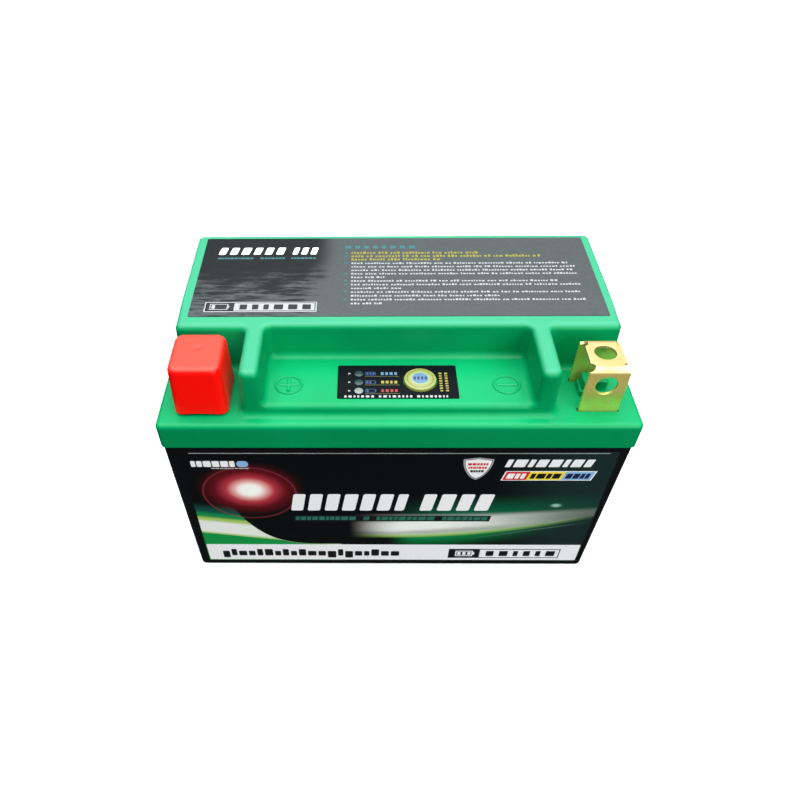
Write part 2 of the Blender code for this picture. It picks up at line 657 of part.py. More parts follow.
def make_screw(name, place, head_z, length):
    """A small pan-head screw that points up from head_z, or down when length is negative."""
    head = math.copysign(SCREW_HEAD_THICK, length)
    screw = cylinder(name, SCREW_HEAD_R, (*place, head_z), (*place, head_z + head), "steel", 20)
    join(screw, cylinder(name + "_shank", SCREW_SHANK_R, (*place, head_z + head / 2),
                         (*place, head_z + head + length), sides=12))


def make_indicator_board():
    """Board for the lamps and the switch, screwed up against two posts of the cover."""
    low = INDICATOR_BOARD_Z
    high = low + INDICATOR_BOARD_THICK
    low_x, high_x, low_y, high_y = INDICATOR_BOARD
    board = box("indicator_board", (low_x, low_y, low), (high_x, high_y, high), "board")
    length = GAP + INDICATOR_BOARD_THICK + 0.7 * SCREW_HOLE_DEPTH
    for index, place in enumerate(INDICATOR_POSTS):
        cut(board, upright(f"indicator_board_hole_{index + 1}", SCREW_HOLE_R, place, low - BITE,
                           high + BITE, sides=16))
        make_screw(f"indicator_screw_{index + 1}", place, low - GAP - SCREW_HEAD_THICK, length)
    low_x, high_x, low_y, high_y = INDICATOR_PLUG
    top = low - GAP
    box("indicator_connector", (low_x, low_y, top - INDICATOR_PLUG_HEIGHT), (high_x, high_y, top),
        "connector", {"vertical": LABEL_CORNER_R}, 1)


# ---------------------------------------------------------------- cells and their wiring
def cell_centre(index):
    return (index - (CELL_COUNT - 1) / 2) * CELL_PITCH


def make_cells():
    """Four flat cells on edge, foam between them, and foam at the ends and underneath."""
    half = CELL_THICK / 2
    for index in range(CELL_COUNT):
        x = cell_centre(index)
        name = f"cell_{index + 1}"
        cell = box(name, (x - half, -CELL_HALF_Y, CELL_LOW_Z), (x + half, CELL_HALF_Y, CELL_TOP_Z),
                   "cell", {"vertical": 0.0020, "top": 0.0008, "bottom": 0.0008}, 2)
        for tag, y in (("front", -POST_Y), ("rear", POST_Y)):
            join(cell, upright(f"{name}_post_{tag}", POST_R, (x, y), CELL_TOP_Z - BITE, POST_TOP_Z,
                               sides=20))
    spacer = CELL_PITCH - CELL_THICK - 2 * GAP
    for index in range(CELL_COUNT - 1):
        x = (cell_centre(index) + cell_centre(index + 1)) / 2
        box(f"cell_spacer_{index + 1}", (x - spacer / 2, -CELL_HALF_Y, CELL_LOW_Z),
            (x + spacer / 2, CELL_HALF_Y, CELL_TOP_Z - SPACER_DROP), "foam")
    stack = cell_centre(CELL_COUNT - 1) + half + GAP
    for name, side in (("end_foam_left", -1), ("end_foam_right", 1)):
        low, high = sorted((side * stack, side * PACK_HALF_X))
        box(name, (low, -CELL_HALF_Y, CELL_LOW_Z), (high, CELL_HALF_Y, END_FOAM_TOP_Z), "foam",
            {"vertical": 0.0020, "top": 0.0015}, 1)
    box("base_foam", (-PACK_HALF_X, -PACK_HALF_Y, CASE_FLOOR_Z + GAP),
        (PACK_HALF_X, PACK_HALF_Y, CELL_LOW_Z - GAP), "foam", {"vertical": 0.0020}, 1)


def make_cell_frame():
    """Plastic frame over the cell tops, with posts that carry the balance board."""
    low = CELL_TOP_Z + GAP
    high = low + FRAME_THICK
    frame = box("cell_frame", (-FRAME_HALF_X, -CELL_HALF_Y, low), (FRAME_HALF_X, CELL_HALF_Y, high),
                "frame", {"vertical": 0.0020}, 2)
    for index in range(CELL_COUNT):
        for tag, y in (("front", -POST_Y), ("rear", POST_Y)):
            cut(frame, upright(f"frame_hole_{index + 1}_{tag}", POST_R + POST_CLEARANCE,
                               (cell_centre(index), y), low - BITE, high + BITE, sides=20))
    for index, place in enumerate(BALANCE_POSTS):
        join(frame, upright(f"frame_post_{index + 1}", FRAME_POST_R, place, high - BITE,
                            BALANCE_BOARD_Z - GAP, sides=20))
        cut(frame, upright(f"frame_post_hole_{index + 1}", SCREW_HOLE_R, place,
                           BALANCE_BOARD_Z - SCREW_HOLE_DEPTH, BALANCE_BOARD_Z, sides=16))


def make_links():
    """Copper bars that put the cells in series, and a folded lead to each terminal."""
    for index in range(CELL_COUNT - 1):
        y = POST_Y if index % 2 == 0 else -POST_Y
        low_x = cell_centre(index) - LINK_OVERHANG
        high_x = cell_centre(index + 1) + LINK_OVERHANG
        box(f"series_link_{index + 1}", (low_x, y - LINK_HALF_Y, LINK_Z),
            (high_x, y + LINK_HALF_Y, LINK_Z + LINK_THICK), "copper", {"vertical": 0.0010}, 1)
    ends = (("positive_lead", -1, POSITIVE_X, POSITIVE_FRONT_Y),
            ("negative_lead", 1, NEGATIVE_X, NEGATIVE_FRONT_Y))
    low_z = LINK_Z + LINK_THICK / 2
    high_z = LEAD_Z - LINK_THICK / 2
    for name, side, x, front_y in ends:
        inner = side * (cell_centre(CELL_COUNT - 1) - LINK_OVERHANG)
        outer = x + side * TERMINAL_HALF_X
        path = ((inner, low_z), (side * LEAD_BEND_X, low_z), (side * LEAD_BEND_X, high_z),
                (outer, high_z))
        bent_strip(name, path, front_y - LEAD_MARGIN, front_y + TERMINAL_DEPTH + LEAD_MARGIN,
                   LINK_THICK, LINK_THICK, "copper")


def make_balance_board():
    """Board that balances the cells: four bleed resistors, a controller and a socket."""
    low_x, high_x, low_y, high_y = BALANCE_BOARD
    low = BALANCE_BOARD_Z
    high = low + BALANCE_BOARD_THICK
    board = box("balance_board", (low_x, low_y, low), (high_x, high_y, high), "board",
                {"vertical": 0.0015}, 1)
    for index, place in enumerate(BALANCE_POSTS):
        cut(board, upright(f"balance_board_hole_{index + 1}", SCREW_HOLE_R, place, low - BITE,
                           high + BITE, sides=16))
        make_screw(f"balance_screw_{index + 1}", place, high + GAP + SCREW_HEAD_THICK,
                   -GAP - BALANCE_BOARD_THICK - 0.7 * SCREW_HOLE_DEPTH)
    seat = high + GAP
    length, depth, height = RESISTOR
    for index in range(CELL_COUNT):
        x = (index - (CELL_COUNT - 1) / 2) * RESISTOR_PITCH
        box(f"balance_resistor_{index + 1}", (x - length / 2, RESISTOR_Y - depth / 2, seat),
            (x + length / 2, RESISTOR_Y + depth / 2, seat + height), "component",
            {"vertical": LABEL_CORNER_R}, 1)
    low_x, high_x, low_y, high_y = CONTROLLER
    box("balance_controller", (low_x, low_y, seat), (high_x, high_y, seat + CONTROLLER_HEIGHT),
        "component", {"vertical": LABEL_CORNER_R, "top": GAP}, 1)
    low_x, high_x, low_y, high_y = SOCKET
    box("balance_socket", (low_x, low_y, seat), (high_x, high_y, seat + SOCKET_HEIGHT), "connector",
        {"vertical": LABEL_CORNER_R}, 1)


def make_wires():
    """The indicator's cable and one sensing wire from the board to each cell junction."""
    plug_y = INDICATOR_PLUG[3] + GAP
    plug_z = INDICATOR_BOARD_Z - GAP - INDICATOR_PLUG_HEIGHT / 2
    socket_y = SOCKET[2] - GAP
    socket_z = BALANCE_BOARD_Z + BALANCE_BOARD_THICK + GAP + SOCKET_HEIGHT / 2
    straight = 2.7 * CABLE_R
    wire("indicator_cable", ((CABLE_X, plug_y, plug_z), (CABLE_X, plug_y + straight, plug_z),
                             (CABLE_X, (plug_y + socket_y) / 2, (plug_z + socket_z) / 2),
                             (CABLE_X, socket_y - straight, socket_z), (CABLE_X, socket_y, socket_z)),
         CABLE_R, "cable")
    low = LINK_Z + LINK_THICK + GAP + SENSE_WIRE_R
    high = BALANCE_BOARD_Z - GAP - SENSE_WIRE_R
    for index in range(CELL_COUNT + 1):
        x = max(-SENSE_WIRE_REACH, min(SENSE_WIRE_REACH, (index - CELL_COUNT / 2) * CELL_PITCH))
        start_y = 0.0250 if index % 2 else -0.0250
        run = -0.0070 if index % 2 else 0.0130
        route = [(x, start_y + share * run, height)
                 for share, height in ((0.0, low), (0.3, low), (0.7, high), (1.0, high))]
        wire(f"sense_wire_{index + 1}", route, SENSE_WIRE_R, "cable", 3)


# ---------------------------------------------------------------- assembly
def make_battery():
    make_container()
    make_cover_seal()
    make_cover()
    make_terminal("positive_terminal", POSITIVE_X, POSITIVE_FRONT_Y)
    make_terminal("negative_terminal", NEGATIVE_X, NEGATIVE_FRONT_Y)
    make_terminal_seal("positive_terminal_seal", POSITIVE_X, POSITIVE_FRONT_Y)
    make_terminal_seal("negative_terminal_seal", NEGATIVE_X, NEGATIVE_FRONT_Y)
    make_cap()
    make_labels()
    stem_z = make_button()
    make_test_switch(stem_z)
    make_lamps()
    make_indicator_board()
    make_cells()
    make_cell_frame()
    make_links()
    make_balance_board()
    make_wires()


make_battery()
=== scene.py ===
"""Looks of a small motorcycle battery: moulded shells, brass terminals and generic label art.

Lengths are metres in the row frame: +X towards the negative terminal, -Y out of the labelled
front, +Z up.  Label art is drawn in millimetres on each label's own face.
"""
import json
import math
import random

import bmesh
import bpy
import numpy as np
from mathutils import Matrix, Vector


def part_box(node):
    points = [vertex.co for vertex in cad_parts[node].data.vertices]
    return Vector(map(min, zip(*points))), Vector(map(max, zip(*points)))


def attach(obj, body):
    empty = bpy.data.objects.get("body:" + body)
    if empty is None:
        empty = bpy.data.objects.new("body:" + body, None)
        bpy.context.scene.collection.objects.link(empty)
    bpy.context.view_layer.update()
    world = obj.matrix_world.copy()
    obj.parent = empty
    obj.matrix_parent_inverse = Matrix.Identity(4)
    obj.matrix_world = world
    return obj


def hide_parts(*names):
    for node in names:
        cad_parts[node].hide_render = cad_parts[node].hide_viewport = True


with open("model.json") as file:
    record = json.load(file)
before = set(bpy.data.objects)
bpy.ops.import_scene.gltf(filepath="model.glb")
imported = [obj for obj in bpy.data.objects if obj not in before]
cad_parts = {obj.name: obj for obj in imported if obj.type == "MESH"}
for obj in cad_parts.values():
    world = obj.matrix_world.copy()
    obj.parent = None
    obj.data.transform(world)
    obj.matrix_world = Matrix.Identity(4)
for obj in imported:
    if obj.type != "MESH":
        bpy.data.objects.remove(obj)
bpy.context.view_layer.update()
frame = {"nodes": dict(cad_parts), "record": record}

NODES = frame["nodes"]
MM = 0.001

# ---- driving dimensions
RIM_HALF = (0.0750, 0.0435)
RIM_CORNER = 0.0020
RIM_TOP_R = 0.0016
SKIRT_Z = 0.0670
LEDGE_Z = 0.0765
TRAY_Z = 0.0803
TOP_Z = 0.0928
WALL = 0.0020
BLOCK_HALF_X = 0.0709
BLOCK_Y = (-0.0163, 0.0389)
BLOCK_CORNER = 0.0021
ARM_HALF_X = 0.0484
ARM_FRONT_Y = -0.0389
ARM_CORNER = 0.0026
TOP_R = 0.0021                    # rounding of the top edges of the arms and the block's front
TOP_REAR_R = 0.0011               # rounding of the block's other top edges
TOP_BLEND = (BLOCK_Y[0] + 0.016, BLOCK_Y[0] + 0.004)     # y where one changes into the other
FOOT_R = 0.0019                   # fillet where a raised wall meets the ledge
INNER_CORNER_R = 0.0020           # fillet between an arm and the block
DRAFT = 0.0006 / 0.0163           # lean of the raised walls
TRAY_HALF_X = 0.0414
TRAY_REAR_Y = -0.0150
TRAY_CORNER = 0.0024
TRAY_FOOT_R = 0.0021
TRAY_LIP_R = 0.0018

CASE_BASE_HALF = (0.0736, 0.04235)
CASE_SHOULDER_HALF = (0.0746, 0.04265)
SHOULDER_Z = 0.0659
CASE_CORNER = 0.0020
CASE_FOOT_R = 0.0012
CASE_WALL = 0.0025
CASE_FLOOR_Z = 0.0026
LIP_Z = 0.0699
LIP_HALF = (0.0727, 0.0412)
LIP_WALL = 0.0014
LIP_CORNER = 0.0020
HOLLOW_CORNER = 0.0015

TERMINAL_THICK = 0.0010
TERMINAL_HALF_X = 0.0061
TERMINAL_TOP_HALF_X = 0.0055
TERMINAL_TAIL_HALF_X = 0.0056
TERMINAL_DEPTH = 0.0150
TERMINAL_TOP_Z = 0.0926
TERMINAL_TAIL_Z = 0.0700
TERMINAL_SHOULDER_Z = 0.0776
TERMINAL_BEND = 0.0014            # radius of the mid surface at a corner
TERMINAL_RELIEF_R = 0.0015
TERMINAL_HOLE_R = 0.0033
TERMINAL_HOLE_Z = 0.0866
TERMINAL_HOLE_BACK = 0.0083
TERMINALS = {"negative": (0.0618, -0.0368), "positive": (-0.0613, -0.0361)}
TAIL_CHAMFER = 0.0006             # cut off the corners of a tail's end
SLOT_GAP = 0.0003
FOLD_STEPS = 12                   # faces round a bend or a relief
RING_STEPS = 48                   # faces round a terminal's hole or a polarity mark

BOSS_FOOT = (0.0046, 0.0068, 0.0022, 0.0018)    # half width, front and rear insets, height
BOSS = (0.0038, 0.0078, 0.0024, 0.0050)

BUTTON = (0.0072, -0.0271)
BUTTON_R = 0.0051
BUTTON_POCKET_R = 0.0055
BUTTON_POCKET_Z = 0.0793
BUTTON_HOLE_R = 0.0024
BUTTON_STEPS = 64                 # faces round a turned shape
MARK_Y = -0.0290
MARK_X = 0.0341
MARK_RING_R = 0.0040
MARK_LINE_R = 0.00042             # half width of a ring's line
MARK_BAR_R = 0.00062              # half width of the bars in a ring
MARK_HEIGHT = 0.00042

FILM_THICK = 0.00018
FILM_GAP = 0.00002                # glue under a film
INK_STEP = 0.00002                # how far each layer of ink stands above the one below

FLOOR_SIZE = 6.0
SKY_COLOUR = (0.96, 1.0, 1.04)
SKY_HEIGHTS = (0.50, 0.95)        # sine of the elevation where the sky starts and is brightest
SKY_STRENGTH = 6.2
SKY_FLOOR = 0.04
FILL_PLACE = (0.66, -1.02, 0.58)
FILL_TARGET = (0.0, 0.0, 0.06)
FILL_SIZE = (0.70, 0.60)
FILL_POWER = 10.0
CAMERA_PLACE = (-0.01122, -0.19421, 0.22539)
CAMERA_TURN = (-1.361, -49.825, -0.971)         # yaw, pitch and roll in degrees
CAMERA_SENSOR = 36.0
CAMERA_LENS = 31.17
CAMERA_SHIFT = (0.0614, 0.1113)


# ---- colours
def srgb(red, green, blue):
    """Linear colour from 0 to 255 display values."""
    values = [value / 255 for value in (red, green, blue)]
    return tuple(v / 12.92 if v <= 0.04045 else ((v + 0.055) / 1.055) ** 2.4 for v in values)


def darker(colour, share):
    return tuple(share * value for value in colour)


GREEN = (0.000, 0.245, 0.078)
GREEN_DEEP = (0.000, 0.215, 0.066)
RED = (0.860, 0.004, 0.002)
RED_DEEP = (0.780, 0.003, 0.001)
INK_COLOURS = {
    "white": srgb(240, 240, 238),
    "silver": (0.300, 0.310, 0.308),
    "grey": srgb(170, 176, 176),
    "teal": srgb(44, 108, 88),
    "dark_teal": srgb(38, 92, 92),
    "yellow": srgb(238, 214, 70),
    "ochre": (0.210, 0.185, 0.012),
    "red": srgb(206, 32, 40),
    "brick": (0.210, 0.008, 0.010),
    "blue": srgb(138, 180, 220),
    "navy": (0.006, 0.014, 0.055),
    "royal": (0.016, 0.040, 0.130),
    "sky": (0.067, 0.143, 0.243),
    "lime": (0.200, 0.220, 0.045),
    "mint": (0.210, 0.260, 0.140),
    "olive": (0.070, 0.080, 0.014),
    "black": srgb(14, 15, 16),
}


# ---- shader nodes
def add_node(tree, kind, inputs, **settings):
    """A shader node with its settings, each input of which is linked to or given a value."""
    node = tree.nodes.new(f"ShaderNode{kind}")
    for key, value in settings.items():
        setattr(node, key, value)
    for key, value in inputs.items():
        source = value.socket if isinstance(value, Field) else value
        if isinstance(source, bpy.types.NodeSocket):
            tree.links.new(source, node.inputs[key])
        else:
            give_value(node.inputs[key], source)
    return node


def give_value(socket, value):
    socket.default_value = (*value, 1.0) if socket.type == "RGBA" else value


def math_node(operation):
    """A method that adds a Math node, with a number or a field for each further input."""
    def method(self, *others):
        inputs = dict(enumerate((self, *others)))
        return Field(self.tree, add_node(self.tree, "Math", inputs, operation=operation).outputs[0])
    return method


class Field:
    """A number that varies over a surface.  Arithmetic on it adds Math nodes to a material."""

    def __init__(self, tree, socket):
        self.tree = tree
        self.socket = socket

    __add__ = math_node("ADD")
    __sub__ = math_node("SUBTRACT")
    __mul__ = math_node("MULTIPLY")
    __truediv__ = math_node("DIVIDE")
    __abs__ = math_node("ABSOLUTE")
    power = math_node("POWER")
    most = math_node("MAXIMUM")
    sine = math_node("SINE")

    def step(self, start, end):
        """From 0 where the field is at start to 1 where it is at end, smoothly."""
        inputs = {"Value": self, "From Min": min(start, end), "From Max": max(start, end),
                  "To Min": float(start > end), "To Max": float(start < end)}
        node = add_node(self.tree, "MapRange", inputs, interpolation_type="SMOOTHSTEP")
        return Field(self.tree, node.outputs["Result"])


class Paint:
    """A material under construction: a Principled shader and the nodes that feed it."""

    def __init__(self, name, colour, roughness, metallic=0.0, **settings):
        self.material = bpy.data.materials.new(name)
        self.material.use_nodes = True
        self.tree = self.material.node_tree
        self.shader = self.tree.nodes["Principled BSDF"]
        settings.update(base_color=colour, roughness=roughness, metallic=metallic)
        for key, value in settings.items():
            give_value(self.shader.inputs[key.replace("_", " ").title().replace("Ior", "IOR")], value)
        self.place = add_node(self.tree, "TexCoord", {}).outputs["Object"]

    def feed(self, name, source):
        socket = source.socket if isinstance(source, Field) else source
        self.tree.links.new(socket, self.shader.inputs[name])

    def axes(self):
        """The surface point's x, y and z in millimetres."""
        split = add_node(self.tree, "SeparateXYZ", {0: self.place})
        return [Field(self.tree, socket) / MM for socket in split.outputs]

    def noise(self, per_metre, detail=3.0, stretch=(1.0, 1.0, 1.0), roughness=0.55):
        """Noise from 0 to 1 with so many features to a metre, stretched along an axis."""
        scaled = add_node(self.tree, "VectorMath", {0: self.place, 1: stretch}, operation="MULTIPLY")
        node = add_node(self.tree, "TexNoise", {"Vector": scaled.outputs[0], "Scale": per_metre,
                                                "Detail": detail, "Roughness": roughness})
        return Field(self.tree, node.outputs["Fac"])

    def cells(self, per_metre):
        node = add_node(self.tree, "TexVoronoi", {"Vector": self.place, "Scale": per_metre})
        return Field(self.tree, node.outputs["Distance"])

    def blend(self, first, second, share):
        """A colour between two colours, which are triples or sockets."""
        inputs = {"Factor": share, 6: first, 7: second}
        return add_node(self.tree, "Mix", inputs, data_type="RGBA").outputs[2]

    def bump(self, height, distance, below=None):
        inputs = {"Strength": 1.0, "Distance": distance, "Height": height}
        if below is not None:
            inputs["Normal"] = below
        return add_node(self.tree, "Bump", inputs).outputs["Normal"]


# ---- materials
def moulded(name, colour, deep, roughness, grain=0.00001, wave=0.00002, painted_top_highlight=None, painted_highlight_z=None,
            **settings):
    """Moulded plastic: slow sink waves, fine grain, and a slight change of tone.

    bloom is a paler tone painted on the top faces, a painted highlight of the light from above, which sets
    in over the heights painted_highlight_z, in mm.
    """
    paint = Paint(name, colour, roughness, **settings)
    tone = paint.noise(38, 3.0).step(0.30, 0.72)
    mixed = paint.blend(deep, colour, tone)
    if painted_top_highlight:
        # painted highlight: the top faces are blended to the paler tone, as if washed by the light from
        # above
        mixed = paint.blend(mixed, painted_top_highlight, paint.axes()[2].step(*painted_highlight_z))
    paint.feed("Base Color", mixed)
    rough = paint.noise(260, 4.0) * 0.10 + (roughness - 0.05)
    paint.feed("Roughness", rough)
    slow = paint.bump(paint.noise(55, 1.0), wave)
    paint.feed("Normal", paint.bump(paint.noise(3200, 2.0), grain, slow))
    return paint.material


def make_brass():
    """Folded brass: rolled grain and patches of tarnish, with painted light: a painted reflection of the
    green cover low on the upright plates and on the rear plate, and a brighter yellow painted on the upright
    plates than on the top plate.
    """
    paint = Paint("brass_worn", (0.56, 0.44, 0.20), 0.3, 0.55)
    _, y, z = paint.axes()
    patches = paint.noise(190, 6.0, roughness=0.65).step(0.38, 0.66)
    top = paint.blend((0.54, 0.43, 0.20), (0.52, 0.37, 0.13), patches)
    # painted reflection: lime green low down and towards the rear, where the green cover would reflect in
    # the brass
    painted_green_reflection = z.step(87.0, 80.5).most(y.step(-34.0, -28.0))
    upright = paint.blend((0.88, 0.70, 0.20), (0.42, 0.67, 0.12), painted_green_reflection)
    upright = paint.blend(upright, (0.46, 0.42, 0.10), patches * 0.35)
    # painted light: the top plate gets a darker tan and the upright plates a brighter yellow, the tones the
    # light gave each face of one strip
    bright = paint.blend(upright, top, z.step(90.4, 91.9))
    stain = paint.noise(420, 8.0, roughness=0.75).step(0.60, 0.78)
    paint.feed("Base Color", paint.blend(bright, (0.36, 0.18, 0.05), stain * 0.5))
    rolled = paint.noise(900, 3.0, (1.0, 0.08, 0.08))
    paint.feed("Roughness", rolled * 0.16 + patches * 0.10 + 0.20)
    dents = paint.bump(paint.noise(330, 3.0), 0.00004)
    paint.feed("Normal", paint.bump(rolled, 0.000010, dents))
    return paint.material


def make_film(name, colour, roughness, ripple=0.00002, coat=0.35, gloss=0.5):
    """Printed film under a thin clear coat, with the slight ripple of a laid sticker."""
    paint = Paint(name, colour, roughness, coat_weight=coat, coat_roughness=0.12,
                  specular_ior_level=gloss)
    paint.feed("Roughness", paint.noise(700, 3.0) * 0.08 + roughness)
    wave = paint.bump(paint.noise(60, 1.0, (0.3, 1.6, 1.6)), ripple)
    paint.feed("Normal", paint.bump(paint.noise(5200, 2.0), 0.000003, wave))
    return paint


def make_ink(name, colour, roughness=0.38):
    """Screen-printed ink: slightly uneven in tone and gloss."""
    paint = Paint(name, colour, roughness)
    tone = paint.noise(2600, 3.0).step(0.25, 0.75)
    paint.feed("Base Color", paint.blend(darker(colour, 0.88), colour, tone))
    paint.feed("Roughness", paint.noise(3300, 2.0) * 0.12 + (roughness - 0.06))
    return paint.material


def make_foam():
    paint = Paint("foam_cells", (0.045, 0.045, 0.047), 0.95)
    cell = paint.cells(1500)
    paint.feed("Base Color", paint.blend((0.020, 0.020, 0.021), (0.075, 0.075, 0.078), cell))
    paint.feed("Normal", paint.bump(cell, 0.00025))
    return paint.material


def make_board():
    """Solder mask with faint tracks under it."""
    paint = Paint("solder_mask", (0.010, 0.150, 0.060), 0.40, coat_weight=0.4, coat_roughness=0.15)
    x = paint.axes()[0]
    lines = abs((x * 0.8).sine()).step(0.86, 0.94)
    gate = paint.noise(160, 1.0, (0.2, 1.0, 1.0)).step(0.48, 0.56)
    paint.feed("Base Color", paint.blend((0.008, 0.110, 0.045), (0.030, 0.250, 0.105), lines * gate))
    paint.feed("Normal", paint.bump(lines * gate, 0.00003))
    return paint.material


def make_metal(name, colour, roughness, stretch):
    """Drawn or rolled metal with a directional grain."""
    paint = Paint(name, colour, roughness, 1.0)
    grain = paint.noise(1400, 3.0, stretch)
    tone = paint.noise(70, 4.0).step(0.3, 0.7)
    paint.feed("Base Color", paint.blend(darker(colour, 0.78), colour, tone))
    paint.feed("Roughness", grain * 0.18 + (roughness - 0.08))
    paint.feed("Normal", paint.bump(grain, 0.000008))
    return paint.material


INNER_FINISHES = {
    "seal": moulded("rubber_seal", (0.022, 0.022, 0.023), (0.014, 0.014, 0.015), 0.70, wave=0.00003),
    "component": moulded("moulded_epoxy", (0.026, 0.026, 0.028), (0.018, 0.018, 0.020), 0.50),
    "connector": moulded("natural_nylon", (0.74, 0.71, 0.61), (0.66, 0.62, 0.50), 0.45,
                         subsurface_weight=0.1),
    "cable": moulded("wire_insulation", (0.58, 0.020, 0.015), (0.46, 0.012, 0.010), 0.42),
    "frame": moulded("filled_nylon", (0.032, 0.032, 0.034), (0.020, 0.020, 0.022), 0.55, wave=0.00003),
    "lamp": moulded("clear_epoxy", (0.50, 0.60, 0.55), (0.42, 0.52, 0.47), 0.12, 0.0, 0.00001,
                    transmission_weight=0.6),
    "board": make_board(),
    "foam": make_foam(),
    "cell": make_metal("drawn_can", (0.66, 0.68, 0.70), 0.34, (1.0, 1.0, 0.05)),
    "copper": make_metal("copper_strip", (0.80, 0.40, 0.22), 0.30, (0.06, 1.0, 1.0)),
    "steel": make_metal("plated_steel", (0.62, 0.63, 0.64), 0.28, (1.0, 1.0, 0.2)),
}


# ---- pieces
def add_item(data, name=None):
    """An object in the scene for a mesh, curve, light or camera."""
    item = bpy.data.objects.new(name or data.name, data)
    bpy.context.scene.collection.objects.link(item)
    return item


def add_piece(name, mesh, materials, body="battery", nodes=()):
    """A piece of the visual model, which rides on a body and may stand for CAD nodes."""
    piece = add_item(mesh, name)
    for material in materials:
        mesh.materials.append(material)
    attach(piece, body)
    if nodes:
        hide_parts(*nodes)
    return piece


def mesh_from(name, bm):
    mesh = bpy.data.meshes.new(name)
    bm.normal_update()
    bm.to_mesh(mesh)
    bm.free()
    return mesh


def settle(item):
    """Apply an object's modifiers, remove the object, and return its final mesh."""
    depsgraph = bpy.context.evaluated_depsgraph_get()
    mesh = bpy.data.meshes.new_from_object(item.evaluated_get(depsgraph))
    mesh.name = item.name
    bpy.data.objects.remove(item, do_unlink=True)
    return mesh


def combine(mesh, cutters=(), additions=()):
    """Cut and join other meshes with a mesh, and return the result."""
    item = add_item(mesh)
    others = [(add_item(other), "UNION") for other in additions]
    others += [(add_item(other), "DIFFERENCE") for other in cutters]
    for other, operation in others:
        boolean = item.modifiers.new(operation, "BOOLEAN")
        boolean.operation = operation
        boolean.solver = "EXACT"
        boolean.object = other
    result = settle(item)
    for other, _ in others:
        bpy.data.objects.remove(other, do_unlink=True)
    return result


def smooth_by_angle(mesh, degrees=32):
    mesh.shade_smooth()
    mesh.set_sharp_from_angle(angle=math.radians(degrees))


def weigh_normals(piece):
    """Keep large flat faces flat beside rounded edges."""
    weighted = piece.modifiers.new("weighted normals", "WEIGHTED_NORMAL")
    weighted.keep_sharp = True
    weighted.weight = 90


# ---- solid shapes
def box_mesh(name, low, high, taper=(0.0, 0.0, 0.0, 0.0), radii=None, segments=6):
    """A box whose top is drawn in by taper = (low x, high x, low y, high y).

    radii gives the rounding of the vertical, top and bottom edges.
    """
    bm = bmesh.new()
    bmesh.ops.create_cube(bm, size=1.0)
    for vertex in bm.verts:
        east, north, up = (value > 0 for value in vertex.co)
        x = high[0] - taper[1] * up if east else low[0] + taper[0] * up
        y = high[1] - taper[3] * up if north else low[1] + taper[2] * up
        vertex.co = (x, y, high[2] if up else low[2])
    if not radii:
        return mesh_from(name, bm)
    weights = bm.edges.layers.float.new("bevel_weight_edge")
    middle = (low[2] + high[2]) / 2
    for edge in bm.edges:
        ends_up = sum(vertex.co.z > middle for vertex in edge.verts)
        kind = ("bottom", "vertical", "top")[ends_up]
        edge[weights] = radii.get(kind, 0.0) / max(radii.values())
    item = add_item(mesh_from(name, bm))
    bevel = item.modifiers.new("rounding", "BEVEL")
    bevel.width = max(radii.values())
    bevel.segments = segments
    bevel.limit_method = "WEIGHT"
    return settle(item)


def upright_mesh(name, radius, centre, low_z, high_z):
    bm = bmesh.new()
    bmesh.ops.create_cone(bm, cap_ends=True, segments=BUTTON_STEPS, radius1=radius, radius2=radius,
                          depth=high_z - low_z)
    middle = Vector((*centre, (low_z + high_z) / 2))
    bmesh.ops.translate(bm, vec=middle, verts=bm.verts)
    return mesh_from(name, bm)


def circle(radius, centre, steps):
    """Points round a circle, anticlockwise."""
    angles = [math.tau * step / steps for step in range(steps)]
    return [(centre[0] + radius * math.cos(angle), centre[1] + radius * math.sin(angle))
            for angle in angles]


def turned_mesh(name, profile, centre, steps=BUTTON_STEPS):
    """A solid of revolution from (radius, height) pairs that start and end on the axis."""
    bm = bmesh.new()
    rings = []
    for radius, height in profile:
        points = circle(radius, centre, steps if radius else 1)
        rings.append([bm.verts.new((*point, height)) for point in points])
    for upper, lower in zip(rings, rings[1:]):
        for step in range(steps):
            after = (step + 1) % steps
            corners = [upper[step % len(upper)], lower[step % len(lower)],
                       lower[after % len(lower)], upper[after % len(upper)]]
            bm.faces.new(dict.fromkeys(corners))
    return mesh_from(name, bm)


def curve_mesh(name, outlines, cyclic=True, **settings):
    """The mesh of a curve that runs straight between the points of each outline."""
    curve = bpy.data.curves.new(name, "CURVE")
    for key, value in settings.items():
        setattr(curve, key, value)
    for points in outlines:
        spline = curve.splines.new("POLY")
        spline.points.add(len(points) - 1)
        for point, place in zip(spline.points, points):
            point.co = (*place, 0.0, 1.0)
        spline.use_cyclic_u = cyclic
    mesh = settle(add_item(curve))
    bpy.data.curves.remove(curve)
    return mesh


# ---- forms given by a distance
def round_max(first, second, radius):
    """What two forms share, with the edge between their faces rounded."""
    corner = np.hypot(np.maximum(first + radius, 0.0), np.maximum(second + radius, 0.0))
    return np.minimum(-radius, np.maximum(first, second)) + corner


def round_min(first, second, radius):
    """Two forms together, with a fillet where their faces meet."""
    corner = np.hypot(np.maximum(radius - first, 0.0), np.maximum(radius - second, 0.0))
    return np.maximum(radius, np.minimum(first, second)) - corner


def plan_box(x, y, low, high, corner):
    """Distance in plan to a rectangle with rounded corners."""
    out_x = np.maximum(low[0] - x, x - high[0]) + corner
    out_y = np.maximum(low[1] - y, y - high[1]) + corner
    outside = np.hypot(np.maximum(out_x, 0.0), np.maximum(out_y, 0.0))
    return np.minimum(np.maximum(out_x, out_y), 0.0) + outside - corner


def gradient(distance, points, step=0.00002):
    """How a distance changes along x, y and z."""
    changes = [distance(points + offset) - distance(points - offset) for offset in step * np.eye(3)]
    return np.stack(changes, axis=-1) / (2 * step)


